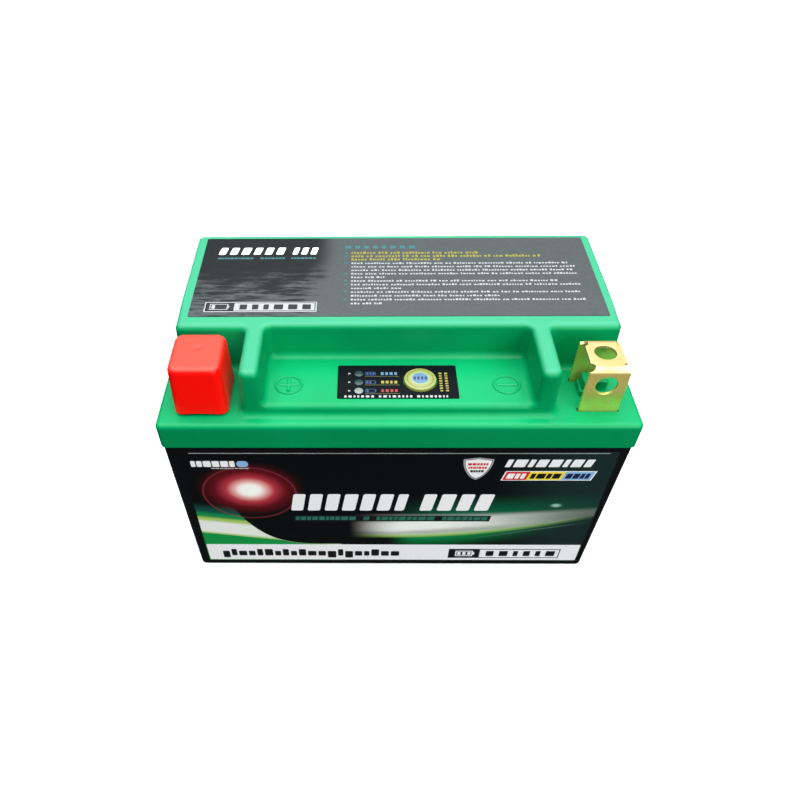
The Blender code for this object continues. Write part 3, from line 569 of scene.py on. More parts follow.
def surface_of(name, distance, low, high, cell, flat=0.35):
    """Mesh of the zero surface of a distance, with one vertex in each grid cell it crosses.

    Each vertex is moved onto the surface, and faces in one plane are then merged.
    """
    axes = [np.arange(start, end + cell, cell) for start, end in zip(low, high)]
    grid = np.stack(np.meshgrid(*axes, indexing="ij"), axis=-1)
    inside = distance(grid) < 0.0
    counts = [size - 1 for size in inside.shape]
    total = np.zeros(counts, dtype=np.int8)
    for shift in np.ndindex(2, 2, 2):
        window = tuple(slice(s, s + count) for s, count in zip(shift, counts))
        total += inside[window]
    crossed = (total > 0) & (total < 8)
    number = np.full(counts, -1)
    number[crossed] = np.arange(crossed.sum())
    points = grid[:-1, :-1, :-1][crossed] + cell / 2
    for _ in range(4):
        slope = gradient(distance, points)
        length = (slope ** 2).sum(axis=-1, keepdims=True)
        move = distance(points)[:, None] * slope / np.maximum(length, 0.25)
        points -= np.clip(move, -cell, cell)
    quads = []
    for axis in range(3):
        start = inside.take(range(counts[axis]), axis)
        end = inside.take(range(1, counts[axis] + 1), axis)
        side_a, side_b = (axis + 1) % 3, (axis + 2) % 3
        for turned_over, change in ((False, start & ~end), (True, end & ~start)):
            place = np.argwhere(change)
            place = place[(place[:, side_a] > 0) & (place[:, side_b] > 0)]
            corners = []
            for a, b in ((0, 0), (1, 0), (1, 1), (0, 1)):
                spot = place.copy()
                spot[:, side_a] -= 1 - a
                spot[:, side_b] -= 1 - b
                spot = np.minimum(spot, np.array(counts) - 1)
                corners.append(number[tuple(spot.T)])
            quad = np.stack(corners, axis=-1)
            quads.append(quad[:, ::-1] if turned_over else quad)
    faces = np.concatenate(quads)
    mesh = bpy.data.meshes.new(name)
    mesh.from_pydata(points.tolist(), [], faces[(faces >= 0).all(axis=1)].tolist())
    bm = bmesh.new()
    bm.from_mesh(mesh)
    bpy.data.meshes.remove(mesh)
    bmesh.ops.dissolve_limit(bm, angle_limit=math.radians(flat), verts=bm.verts, edges=bm.edges)
    return mesh_from(name, bm)


def read(items, name, width=3, kind=np.float64):
    """One row of values for each item of a mesh."""
    values = np.empty(width * len(items), dtype=kind)
    items.foreach_get(name, values)
    return values.reshape(-1, width)


def take_normals(mesh, distance, likeness=0.86):
    """Shade a mesh with its form's own normals, except on faces that a cutter left."""
    corners = read(mesh.loops, "vertex_index", 1, np.int32)[:, 0]
    slope = gradient(distance, read(mesh.vertices, "co")[corners])
    slope /= np.maximum(np.linalg.norm(slope, axis=-1, keepdims=True), 1e-9)
    sizes = read(mesh.polygons, "loop_total", 1, np.int32)[:, 0]
    flat = np.repeat(read(mesh.polygons, "normal"), sizes, axis=0)
    unlike = (slope * flat).sum(axis=-1) < likeness
    slope[unlike] = flat[unlike]
    mesh.shade_smooth()
    mesh.normals_split_custom_set(slope.tolist())


# ---- cover
def raised_form(x, y, z):
    """The block and the arms as one form, with the tray taken out of them."""
    lean = DRAFT * (z - LEDGE_Z)
    block = plan_box(x, y, (lean - BLOCK_HALF_X, BLOCK_Y[0] + lean),
                     (BLOCK_HALF_X - lean, BLOCK_Y[1] - lean), BLOCK_CORNER)
    arms = plan_box(x, y, (lean - ARM_HALF_X, ARM_FRONT_Y + lean), (ARM_HALF_X - lean, 0.0),
                    ARM_CORNER)
    outline = round_min(block, arms, INNER_CORNER_R)
    forward = np.clip((TOP_BLEND[0] - y) / (TOP_BLEND[0] - TOP_BLEND[1]), 0.0, 1.0)
    rounding = TOP_REAR_R + (TOP_R - TOP_REAR_R) * forward ** 2 * (3 - 2 * forward)
    upper = round_max(outline, z - TOP_Z, rounding)
    widening = DRAFT * (z - TRAY_Z)
    tray = plan_box(x, y, (-TRAY_HALF_X - widening, 3 * ARM_FRONT_Y),
                    (TRAY_HALF_X + widening, TRAY_REAR_Y), TRAY_CORNER)
    return round_max(upper, -round_max(tray, TRAY_Z - z, TRAY_FOOT_R), TRAY_LIP_R)


def cover_solid(points):
    x, y, z = points[..., 0], points[..., 1], points[..., 2]
    edge = plan_box(x, y, (-RIM_HALF[0], -RIM_HALF[1]), RIM_HALF, RIM_CORNER)
    rim = round_max(edge, z - LEDGE_Z, RIM_TOP_R)
    return round_min(rim, raised_form(x, y, z), FOOT_R)


def cover_shell(points):
    solid = cover_solid(points)
    below = SKIRT_Z - 0.003 - points[..., 2]
    return np.maximum(np.maximum(solid, -(solid + WALL)), below)


def slot_cutters(x, front_y):
    """Cutters for the two slots that a terminal's tails pass through."""
    reach = TERMINAL_HALF_X + SLOT_GAP
    rear_y = front_y + TERMINAL_DEPTH - TERMINAL_THICK
    return [box_mesh("slot", (x - reach, low_y - SLOT_GAP, LEDGE_Z - 0.005),
                     (x + reach, low_y + TERMINAL_THICK + SLOT_GAP, LEDGE_Z + 0.001))
            for low_y in (front_y, rear_y)]


def make_cover(material):
    margin = 0.0008
    low = (-RIM_HALF[0] - margin, -RIM_HALF[1] - margin, SKIRT_Z - 0.0036)
    high = (RIM_HALF[0] + margin, RIM_HALF[1] + margin, TOP_Z + margin)
    cell = 0.0006
    shell = surface_of("cover_shell", cover_shell, low, high, cell)
    cutters = [box_mesh("below_skirt", (-0.1, -0.1, SKIRT_Z - 0.01), (0.1, 0.1, SKIRT_Z)),
               upright_mesh("pocket", BUTTON_POCKET_R, BUTTON, BUTTON_POCKET_Z, TRAY_Z + 0.001),
               upright_mesh("button_hole", BUTTON_HOLE_R, BUTTON, TRAY_Z - 0.004, TRAY_Z)]
    for x, front_y in TERMINALS.values():
        cutters += slot_cutters(x, front_y)
    mesh = combine(shell, cutters)
    take_normals(mesh, cover_shell)
    return add_piece("cover_shell", mesh, [material], nodes=["cover"])


def make_bosses(material):
    """The stepped boss that stands between a terminal's upright plates."""
    for name, (x, front_y) in TERMINALS.items():
        rear_y = front_y + TERMINAL_DEPTH
        foot, top = (box_mesh("boss", (x - half_x, front_y + front, LEDGE_Z - bite),
                              (x + half_x, rear_y - rear, LEDGE_Z + height),
                              radii={"vertical": 0.0004, "top": rounding}, segments=3)
                     for (half_x, front, rear, height), bite, rounding
                     in ((BOSS_FOOT, 0.0005, 0.0003), (BOSS, 0.0003, 0.0004)))
        mesh = combine(foot, additions=[top])
        smooth_by_angle(mesh)
        weigh_normals(add_piece(f"{name}_nut_boss", mesh, [material]))


def raised_line(name, points, radius, cyclic=True):
    """A half-round moulded line that stands on the tray floor along points."""
    mesh = curve_mesh(name, [points], cyclic, dimensions="3D", bevel_depth=radius,
                      bevel_resolution=4, use_fill_caps=True)
    for vertex in mesh.vertices:
        vertex.co.z = TRAY_Z + vertex.co.z * MARK_HEIGHT / radius
    return mesh


def make_marks(material):
    """Moulded polarity marks on the tray floor: a plus and a minus, each in a ring."""
    for name, x, half_bars in (("plus_mark", -MARK_X, ((0.0029, 0.0), (0.0, 0.0029))),
                               ("minus_mark", MARK_X, ((0.0031, 0.0),))):
        parts = [raised_line(name, circle(MARK_RING_R, (x, MARK_Y), RING_STEPS), MARK_LINE_R)]
        for half_x, half_y in half_bars:
            ends = [(x - half_x, MARK_Y - half_y), (x + half_x, MARK_Y + half_y)]
            parts.append(raised_line(name, ends, MARK_BAR_R, cyclic=False))
        bm = bmesh.new()
        for part in parts:
            bm.from_mesh(part)
            bpy.data.meshes.remove(part)
        mesh = mesh_from(name, bm)
        smooth_by_angle(mesh)
        add_piece(name, mesh, [material])


# ---- container
def make_container(material):
    spread_x = CASE_SHOULDER_HALF[0] - CASE_BASE_HALF[0]
    spread_y = CASE_SHOULDER_HALF[1] - CASE_BASE_HALF[1]
    outside = box_mesh("container_shell", (-CASE_BASE_HALF[0], -CASE_BASE_HALF[1], 0.0),
                       (*CASE_BASE_HALF, SHOULDER_Z), (-spread_x, -spread_x, -spread_y, -spread_y),
                       {"vertical": CASE_CORNER, "bottom": CASE_FOOT_R}, 8)
    lip = box_mesh("lip", (-LIP_HALF[0], -LIP_HALF[1], SHOULDER_Z - 0.004), (*LIP_HALF, LIP_Z),
                   radii={"vertical": LIP_CORNER})
    floor = [half - CASE_WALL for half in CASE_BASE_HALF]
    narrow = [low - (half - LIP_WALL) for low, half in zip(floor, LIP_HALF)]
    hollow = box_mesh("hollow", (-floor[0], -floor[1], CASE_FLOOR_Z), (*floor, LIP_Z + 0.001),
                      (narrow[0], narrow[0], narrow[1], narrow[1]), {"vertical": HOLLOW_CORNER})
    mesh = combine(outside, [hollow], [lip])
    smooth_by_angle(mesh)
    piece = add_piece("container_shell", mesh, [material], nodes=["container"])
    weigh_normals(piece)


# ---- terminals
def terminal_outline():
    """Edge of the flat strip before folding: (across, along) points down one side and up the other."""
    rise = TERMINAL_TOP_Z - TERMINAL_THICK / 2 - TERMINAL_BEND - TERMINAL_TAIL_Z
    arc = TERMINAL_BEND * math.pi / 2
    top_run = TERMINAL_DEPTH - TERMINAL_THICK - 2 * TERMINAL_BEND
    notch = rise + arc
    shoulder = TERMINAL_SHOULDER_Z - TERMINAL_TAIL_Z
    half = [(TERMINAL_TAIL_HALF_X - TAIL_CHAMFER, 0.0), (TERMINAL_TAIL_HALF_X, TAIL_CHAMFER),
            (TERMINAL_HALF_X, shoulder)]
    for step in range(FOLD_STEPS + 1):
        angle = math.pi * step / FOLD_STEPS
        middle = TERMINAL_HALF_X + (TERMINAL_TOP_HALF_X - TERMINAL_HALF_X) * step / FOLD_STEPS
        half.append((middle - TERMINAL_RELIEF_R * math.sin(angle),
                     notch - TERMINAL_RELIEF_R * math.cos(angle)))
    middle = rise + arc + top_run / 2
    near_side = half + [(across, 2 * middle - along) for across, along in reversed(half)]
    far_side = [(-across, along) for across, along in reversed(near_side)]
    return near_side + far_side, rise, arc, top_run


def fold(mesh, x, front_y, rise, arc, top_run):
    """Bend a flat strip, drawn as (across, along, lift), into the terminal's arch."""
    near = front_y + TERMINAL_THICK / 2 + TERMINAL_BEND
    high = TERMINAL_TOP_Z - TERMINAL_THICK / 2 - TERMINAL_BEND
    middle = rise + arc + top_run / 2
    for vertex in mesh.vertices:
        across, along, lift = vertex.co
        reach = TERMINAL_BEND + lift
        past = middle - abs(along - middle) - rise        # the rear half is the front half turned round
        if past < 0:
            y, z = near - reach, high + past
        elif past < arc:
            angle = past / TERMINAL_BEND
            y, z = near - reach * math.cos(angle), high + reach * math.sin(angle)
        else:
            y, z = near + past - arc, high + reach
        if along > middle:
            y = 2 * near + top_run - y
        vertex.co = (x + across, y, z)


def make_terminal(name, material, worn_edge=0.00013):
    """A brass strip with rounded edges, cut flat and then folded."""
    x, front_y = TERMINALS[name]
    outline, rise, arc, top_run = terminal_outline()
    front_hole = TERMINAL_HOLE_Z - TERMINAL_TAIL_Z
    top_hole = rise + arc + TERMINAL_HOLE_BACK - TERMINAL_THICK / 2 - TERMINAL_BEND
    holes = [circle(TERMINAL_HOLE_R, (0.0, centre), RING_STEPS) for centre in (front_hole, top_hole)]
    strip = curve_mesh("strip", [outline] + holes, dimensions="2D", fill_mode="BOTH",
                       extrude=TERMINAL_THICK / 2 - worn_edge, bevel_depth=worn_edge,
                       bevel_resolution=2, offset=-worn_edge)
    bm = bmesh.new()
    bm.from_mesh(strip)
    bpy.data.meshes.remove(strip)
    bmesh.ops.remove_doubles(bm, verts=bm.verts, dist=0.000002)
    for start in (rise, rise + arc + top_run):
        for step in range(FOLD_STEPS + 1):
            everything = bm.verts[:] + bm.edges[:] + bm.faces[:]
            bmesh.ops.bisect_plane(bm, geom=everything, dist=0.0000005, plane_no=(0, 1, 0),
                                   plane_co=(0, start + arc * step / FOLD_STEPS, 0))
    bmesh.ops.recalc_face_normals(bm, faces=bm.faces)
    mesh = mesh_from(f"{name}_terminal_strip", bm)
    fold(mesh, x, front_y, rise, arc, top_run)
    smooth_by_angle(mesh, 40)
    piece = add_piece(f"{name}_terminal_strip", mesh, [material],
                      nodes=[f"{name}_terminal"])
    weigh_normals(piece)


# ---- red cap
CAP_LOW, CAP_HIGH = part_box("positive_cap")
CAP_MIDDLE_X = (CAP_LOW.x + CAP_HIGH.x) / 2
CAP_HALF_X = (CAP_HIGH.x - CAP_LOW.x) / 2
CAP_LEAN = (0.0004, 0.0014, 0.0009)             # how far the sides, front and rear lean in
CAP_CORNER = 0.0030
CAP_TOP_R = 0.0018
CAP_GAP = 0.0003                                # clearance round the terminal
CAP_ARCH = 0.0006                               # rise of the lower edge at the middle
GATE_R = 0.0022                                 # ball that dents the gate mark into the top
GATE_Y = -0.0272
GATE_LIFT = 0.00198


def cap_form(points):
    """Soft cap: drafted walls, an arched lower edge, a shallow gate mark, and open below."""
    x = points[..., 0] - CAP_MIDDLE_X
    y, z = points[..., 1], points[..., 2]
    rise = (z - CAP_LOW.z) / (CAP_HIGH.z - CAP_LOW.z)
    half_x = CAP_HALF_X - CAP_LEAN[0] * rise
    outline = plan_box(x, y, (-half_x, CAP_LOW.y + CAP_LEAN[1] * rise),
                       (half_x, CAP_HIGH.y - CAP_LEAN[2] * rise), CAP_CORNER)
    outside = round_max(outline, z - CAP_HIGH.z, CAP_TOP_R)
    inner, front_y = TERMINALS["positive"]
    inner -= CAP_MIDDLE_X
    reach = TERMINAL_HALF_X + CAP_GAP
    hollow = plan_box(x, y, (inner - reach, front_y - CAP_GAP),
                      (inner + reach, front_y + TERMINAL_DEPTH + CAP_GAP), 0.0006)
    hollow = round_max(hollow, z - TERMINAL_TOP_Z - 0.0002, 0.0009)
    arch = CAP_LOW.z + CAP_ARCH * (1 - (x / CAP_HALF_X) ** 2)
    shell = round_max(np.maximum(outside, -hollow), arch - z, 0.0003)
    dish = GATE_R - np.sqrt(x ** 2 + (y - GATE_Y) ** 2 + (z - CAP_HIGH.z - GATE_LIFT) ** 2)
    return round_max(shell, dish, 0.0003)


def make_cap(material):
    margin = Vector((0.0005, 0.0005, 0.0005))
    mesh = surface_of("positive_cap_shell", cap_form, CAP_LOW - margin, CAP_HIGH + margin, 0.00026, 0.5)
    take_normals(mesh, cap_form, 0.5)
    add_piece("positive_cap_shell", mesh, [material], "positive_cap", ["positive_cap"])


# ---- faces that carry print
def front_face(across, up, lift):
    """A point off the container's front, from millimetres on it and a lift in metres."""
    lean = (CASE_SHOULDER_HALF[1] - CASE_BASE_HALF[1]) / SHOULDER_Z
    return across * MM, -(CASE_BASE_HALF[1] + lean * up * MM + lift), up * MM


def top_face(across, up, lift):
    return across * MM, up * MM, TOP_Z + lift


def tray_face(across, up, lift):
    return across * MM, up * MM, TRAY_Z + lift


def prism(bm, face, outline, low, high):
    """A closed thin solid between two lifts; the outline runs anticlockwise."""
    lower, upper = ([bm.verts.new(face(*point, lift)) for point in outline] for lift in (low, high))
    bm.faces.new(upper)
    bm.faces.new(lower[::-1])
    for index in range(len(outline)):
        after = (index + 1) % len(outline)
        bm.faces.new((lower[index], lower[after], upper[after], upper[index]))


def rounded_bar(low, high, corner=0.0, slant=0.0, steps=4):
    """Outline of a bar, anticlockwise, whose top is moved along by slant."""
    centres = [(high[0] - corner, high[1] - corner), (low[0] + corner, high[1] - corner),
               (low[0] + corner, low[1] + corner), (high[0] - corner, low[1] + corner)]
    outline = []
    for quarter, (x, y) in enumerate(centres):
        for step in range(steps + 1 if corner else 1):
            angle = math.radians(90 * (quarter + step / steps))
            across, up = x + corner * math.cos(angle), y + corner * math.sin(angle)
            outline.append((across + slant * (up - low[1]) / (high[1] - low[1]), up))
    return outline


def make_plate(name, face, low, high, paint, node, hole=None):
    """A printed film with rounded corners, which stands for a CAD label."""
    bm = bmesh.new()
    prism(bm, face, rounded_bar(low, high, 0.5), FILM_GAP, FILM_GAP + FILM_THICK)
    mesh = mesh_from(name, bm)
    if hole:
        mesh = combine(mesh, [hole])
    add_piece(name, mesh, [paint.material], nodes=[node])


class Artwork:
    """Thin raised shapes of ink on one printed face, drawn in millimetres."""

    def __init__(self, name, face, slot, seed):
        self.name = name
        self.face = face
        self.slot = slot
        self.draws = random.Random(seed)
        self.layers = {}

    def shape(self, ink, outline, level=0):
        if ink not in self.layers:
            self.layers[ink] = bmesh.new()
        surface = FILM_GAP + FILM_THICK
        prism(self.layers[ink], self.face, outline, surface - 2 * INK_STEP,
              surface + INK_STEP * (level + 1))

    def bar(self, ink, low, high, level=0, corner=0.0, slant=0.0):
        self.shape(ink, rounded_bar(low, high, corner, slant), level)

    def frame(self, ink, low, high, line, level=0):
        """The outline of a box, as four bars."""
        self.bar(ink, low, (high[0], low[1] + line), level)
        self.bar(ink, (low[0], high[1] - line), high, level)
        self.bar(ink, (low[0], low[1] + line), (low[0] + line, high[1] - line), level)
        self.bar(ink, (high[0] - line, low[1] + line), (high[0], high[1] - line), level)

    def blocks(self, ink, low, high, count, level=0, corner=0.0, slant=0.0, gap=0.16, upright=False,
               ragged=False, least=0.42):
        """A row of blocks of uneven width, and height if ragged, which stands for a printed word."""
        shares = [self.draws.uniform(least, 1.0) for _ in range(count)]
        start, end = (low[1], high[1]) if upright else (low[0], high[0])
        unit = (end - start) / (sum(shares) + gap * (count - 1))
        place = start
        for share in shares:
            after = place + share * unit
            if upright:
                self.bar(ink, (low[0], place), (high[0], after), level, corner)
            else:
                drop = self.draws.choice((0.0, 0.28, 0.28)) * (high[1] - low[1]) if ragged else 0.0
                self.bar(ink, (place, low[1]), (after, high[1] - drop), level, corner, slant)
            place = after + gap * unit

    def line(self, ink, start, end, low, height, letter=0.85, level=0):
        """A line of small print, as words of a few blocks each."""
        place = start
        while place < end - 2 * letter:
            count = self.draws.randint(2, 9)
            after = min(place + count * letter, end)
            self.blocks(ink, (place, low), (after, low + height), max(2, round((after - place) / letter)),
                        level, gap=0.34, ragged=True)
            place = after + letter

    def battery(self, ink, low, high, bars, line, level=0):
        """A battery sign: an outline with a pole at its right end and some bars in it."""
        self.frame(ink, low, high, line, level)
        middle = (low[1] + high[1]) / 2
        pole = (high[1] - low[1]) / 5
        self.bar(ink, (high[0], middle - pole), (high[0] + line * 1.4, middle + pole), level)
        pitch = (high[0] - low[0] - 2 * line) / 3
        for index in range(bars):
            start = low[0] + line + pitch * (index + 0.2)
            self.bar(ink, (start, low[1] + 1.8 * line), (start + 0.62 * pitch, high[1] - 1.8 * line), level)

    def print_inks(self):
        for ink, bm in self.layers.items():
            add_piece(f"{self.name}_{ink}_print", mesh_from(self.name, bm), [INKS[ink]])


# ---- front label
FRONT_LOW, FRONT_HIGH = (-69.8, 3.3), (70.9, 64.0)
SHIELD_X = 26.6


def paint_front_film():
    """Printed ground: a red glow, light sweeps from both sides, and green in between."""
    paint = make_film("front_film", (0.002, 0.0025, 0.003), 0.30, coat=0.15, gloss=0.35)
    x, _, z = paint.axes()
    streaks = paint.noise(55, 4.0, (0.12, 1.0, 3.0)).step(0.25, 0.75)
    colour = paint.blend((0.0015, 0.002, 0.0022), (0.007, 0.020, 0.018), x.step(30, 62))

    def add(tint, share):
        nonlocal colour
        colour = paint.blend(colour, tint, share)

    # right-hand sweep
    run = (x / 65).most(0.0)
    above = z - (run * run * 3.5 + 31.6)
    below = (run * run * 10.0 + 19.4) - z
    start = x.step(-16, 6)
    fade = x.step(82, 12)
    add((0.000, 0.105, 0.045), above.step(11, -1) * below.step(4, -2) * x.step(-4, 26) * x.step(88, 30))
    add((0.000, 0.230, 0.055), below.step(9, 0) * below.step(-3, 0) * x.step(-2, 10) * x.step(64, 14))
    add((0.300, 0.520, 0.110), (abs(below) - 0.9).step(0.8, -0.6) * start * fade)
    body = above.step(1.2, -1.6) * below.step(0.6, -1.2) * start
    add((0.560, 0.560, 0.500), body * (fade * 0.75 + 0.18) * (streaks * 0.35 + 0.65))
    add((0.830, 0.850, 0.790), body * (abs(z - run * 7.0 - 24.6)).step(4.6, 1.5) * fade * fade)
    thin = abs(z - (x - 39.5) * 0.2436 - 20.2)
    add((0.060, 0.130, 0.100), thin.step(0.45, 0.1) * x.step(24, 42) * x.step(72, 58))
    spark = ((x - 56.3) * (x - 56.3) * 0.35 + (z - 37.2) * (z - 37.2)).power(0.5)
    add((0.300, 0.550, 0.420), spark.step(1.5, 0.1))

    # left-hand sweep, cut off by a dark swoosh
    swoosh = ((x * -1 - 19) / 35.4).most(0.0).power(4.0) * 17.8 + 13.9
    left = (swoosh - z).step(-0.25, 0.25) * x.step(-18, -20)
    slope = z + (x + 69) * 0.163
    add((0.003, 0.070, 0.050), left * slope.step(39, 34))
    add((0.006, 0.230, 0.060), left * slope.step(34.5, 32.2))
    add((0.360, 0.540, 0.100), left * slope.step(31.6, 29.8))
    add((0.780, 0.790, 0.740), left * slope.step(29.6, 27.6) * (streaks * 0.25 + 0.75))
    add((0.470, 0.620, 0.260), left * slope.step(22.4, 21.5))
    add((0.004, 0.260, 0.050), left * slope.step(21.4, 20.6))

    # glow with a faint ring
    away_x, away_z = (x + 49.1) / 1.28, z - 45.4
    glow = (away_x * away_x + away_z * away_z).power(0.5)
    add((0.200, 0.005, 0.012), glow.step(15.0, 5.0) * 0.9 * z.step(26, 36))
    add((0.560, 0.050, 0.070), glow.step(10.0, 4.4) * 0.9)
    add((0.900, 0.640, 0.560), glow.step(6.8, 2.4))
    add((0.930, 0.920, 0.850), glow.step(4.4, 2.0))
    ring_x, ring_z = (x + 49.5) / 15.9, (z - 43.4) / 13.4
    ring = abs((ring_x * ring_x + ring_z * ring_z).power(0.5) - 1.0)
    add((0.230, 0.030, 0.040), ring.step(0.030, 0.012) * 0.55)
    paint.feed("Base Color", colour)
    return paint


def shield_outline(centre_x, top, size, steps=10):
    """A plain heater shield, anticlockwise from its right shoulder."""
    side = [(0.5 * math.cos(0.5 * math.pi * step / steps) ** 0.62, 0.92 - 1.02 * step / steps)
            for step in range(steps)]
    crown = [(-0.24, 0.96), (0.0, 1.0), (0.24, 0.96)]
    left = [(-x, y) for x, y in side]
    outline = crown[::-1] + left + [(0.0, -0.10)] + side[::-1]
    return [(centre_x + size * x, top + size * (y - 1.0)) for x, y in outline]


def make_front_label():
    make_plate("front_label_film", front_face, FRONT_LOW, FRONT_HIGH, paint_front_film(),
               "front_label")
    art = Artwork("front_label", front_face, "label_black", 5)
    art.bar("white", (FRONT_LOW[0] + 0.3, FRONT_LOW[1] + 0.3), (FRONT_HIGH[0] - 0.3, 13.6), corner=0.3)
    # painted highlight: a thin grey line along the film's top edge, where the edge catches the light
    art.bar("grey", (FRONT_LOW[0] + 3.0, FRONT_HIGH[1] - 0.45), (FRONT_HIGH[0] - 3.0, FRONT_HIGH[1] - 0.20))

    # title and the line under it
    for start, end, count in ((-36.0, 3.6, 7), (9.0, 33.0, 4)):
        art.blocks("white", (start, 34.2), (end, 43.2), count, corner=0.7, slant=1.5, gap=0.34, least=0.72)
    art.bar("black", (-35.9, 28.0), (34.4, 31.3), slant=0.4)
    for start, end, count in ((-34.8, -13.4, 10), (-10.6, -8.6, 2), (-6.0, 14.6, 9), (17.4, 33.4, 7)):
        art.blocks("teal", (start, 28.7), (end, 30.7), count, 1, slant=0.3)

    # shield
    layers = (("grey", 61.7, 9.8), ("black", 61.3, 9.0), ("white", 61.05, 8.5))
    for level, (ink, top, size) in enumerate(layers):
        art.shape(ink, shield_outline(SHIELD_X, top, size), level)
    for ink, low, half, count in (("red", 58.1, 3.3, 6), ("red", 56.4, 3.0, 7), ("black", 54.7, 2.2, 5)):
        art.blocks(ink, (SHIELD_X - half, low), (SHIELD_X + half, low + 1.05), count, 3)

    # rating: a short name and a bar in three colours
    art.blocks("white", (35.3, 57.2), (63.2, 60.8), 8, corner=0.3, slant=0.9, gap=0.22)
    art.bar("white", (35.0, 50.5), (64.9, 55.2), slant=1.1)
    marks = (("red", 35.5, 43.3, "white", 3), ("yellow", 43.3, 54.9, "black", 4),
             ("blue", 54.9, 64.5, "navy", 4))
    for ink, start, end, on_it, count in marks:
        art.bar(ink, (start, 50.8), (end, 54.9), 1, slant=0.96)
        art.blocks(on_it, (start + 1.0, 51.5), (end - 0.8, 54.0), count, 2, corner=0.25, slant=0.6)

    # lower band
    place = -64.0
    while place < 3.5:
        width = art.draws.uniform(1.9, 3.2)
        low, high = art.draws.choice(((6.3, 9.3), (6.3, 9.3), (6.3, 10.5), (5.0, 9.3)))
        art.bar("black", (place, low), (place + width, high), 1, corner=0.45)
        place += width + 0.75
    art.frame("black", (21.8, 5.0), (63.8, 10.9), 0.40, 1)
    art.bar("black", (21.8, 5.0), (33.6, 10.9), 1)
    art.battery("white", (24.4, 6.2), (31.0, 9.7), 3, 0.45, 2)
    art.blocks("black", (36.0, 6.3), (62.0, 9.6), 6, 1, corner=0.3, gap=0.55)

    # maker's corner
    art.blocks("white", (-67.0, 57.2), (-52.6, 60.0), 6, corner=0.35)
    art.bar("blue", (-52.0, 57.2), (-48.2, 60.0), corner=1.2)
    art.blocks("grey", (-60.6, 56.2), (-48.2, 56.7), 9)
    art.print_inks()


# ---- top label
TOP_LOW, TOP_HIGH = (-66.7, -10.7), (67.2, 35.7)
NOTE_PITCH = 2.13                 # from one line of the small print to the next, in mm


def paint_top_film():
    """Grey film with a painted reflection: its left part, towards the back, is painted dark as something
    dark mirrored in it, with a rippled edge between the two tones.
    """
    paint = make_film("top_film", (0.05, 0.05, 0.05), 0.34, coat=0.15, gloss=0.3)
    x, y, _ = paint.axes()
    # painted reflection: dark on the left and towards the back, grey on the right and at the front, with a
    # rippled edge
    ripple = paint.noise(260, 4.0, (0.42, 2.2, 1.0), 0.66)
    right = x.step(-34, -14)
    low = y.step(26, -13)
    tone = right + low * 0.74 + (ripple - 0.5) * 3.6 * y.step(24, 6) * (right * -1 + 1)
    grain = paint.noise(900, 3.0)
    light = paint.blend((0.040, 0.047, 0.047), (0.047, 0.054, 0.054), grain.step(0.3, 0.7))
    paint.feed("Base Color", paint.blend((0.0008, 0.0024, 0.0028), light, tone.step(0.20, 0.90)))
    return paint


def make_top_label():
    make_plate("top_label_film", top_face, TOP_LOW, TOP_HIGH, paint_top_film(), "top_label")
    art = Artwork("top_label", top_face, "label_grey", 11)
    for start, end, count in ((-61.6, -38.8, 6), (-35.6, -27.2, 3)):
        art.blocks("white", (start, 25.2), (end, 29.6), count, corner=0.5, slant=0.8, gap=0.5, least=0.7)
    for start, end, count in ((-61.4, -49.0, 10), (-46.6, -38.0, 7), (-35.8, -27.2, 7)):
        art.blocks("dark_teal", (start, 22.3), (end, 23.3), count)

    # box with a plain battery sign
    art.bar("silver", (-62.0, -8.4), (-25.7, -3.0), corner=0.3)
    art.frame("black", (-61.6, -8.0), (-26.1, -3.4), 0.3, 1)
    art.bar("black", (-61.6, -8.0), (-52.4, -3.4), 1)
    art.battery("silver", (-60.3, -7.3), (-54.4, -4.1), 1, 0.30, 2)
    art.blocks("black", (-50.6, -7.1), (-27.6, -4.4), 6, 1, corner=0.25, gap=0.55)

    # notes
    art.blocks("dark_teal", (-17.1, 28.8), (7.7, 30.7), 8, corner=0.35, gap=0.55, least=0.7)
    for end, low in ((30.2, 25.4), (50.7, 23.3), (15.9, 21.2)):
        art.line("ochre", -14.8, end, low, 1.40, 1.05)
    ends = (61.6, 61.4, 61.0, 61.6, -3.6, 54.0, 62.4, 1.8, 62.6, 34.6, 63.0, -4.8)
    for row, end in enumerate(ends):
        art.line("silver", -14.8, end, 19.0 - NOTE_PITCH * row, 0.95, 0.95)
    for low in [25.7, 23.6] + [19.2 - NOTE_PITCH * row for row in (0, 3, 5, 6, 8, 10)]:
        art.bar("dark_teal", (-17.0, low), (-16.1, low + 0.8), corner=0.3)
    art.print_inks()


# ---- charge indicator
TRAY_LOW, TRAY_HIGH = (-18.8, -35.4), (18.9, -19.8)


def make_window(name, node, colour):
    """A slightly domed window in the film, over a lamp."""
    low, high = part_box(node)
    centre = ((low.x + high.x) / 2, (low.y + high.y) / 2 - 0.0004)
    surface = TRAY_Z + FILM_GAP + FILM_THICK
    profile = [(0.0, surface + 0.00016), (0.0006, surface + 0.00014), (0.0011, surface + 0.00008),
               (0.00135, surface + 0.00001), (0.00135, surface - 0.00008), (0.0, surface - 0.00008)]
    mesh = turned_mesh(name, profile, centre, 32)
    smooth_by_angle(mesh, 50)
    paint = Paint(name, colour, 0.30, coat_weight=0.15, coat_roughness=0.08, specular_ior_level=0.3)
    paint.feed("Base Color", paint.blend(darker(colour, 0.7), colour, paint.noise(1500, 2.0)))
    add_piece(name, mesh, [paint.material])


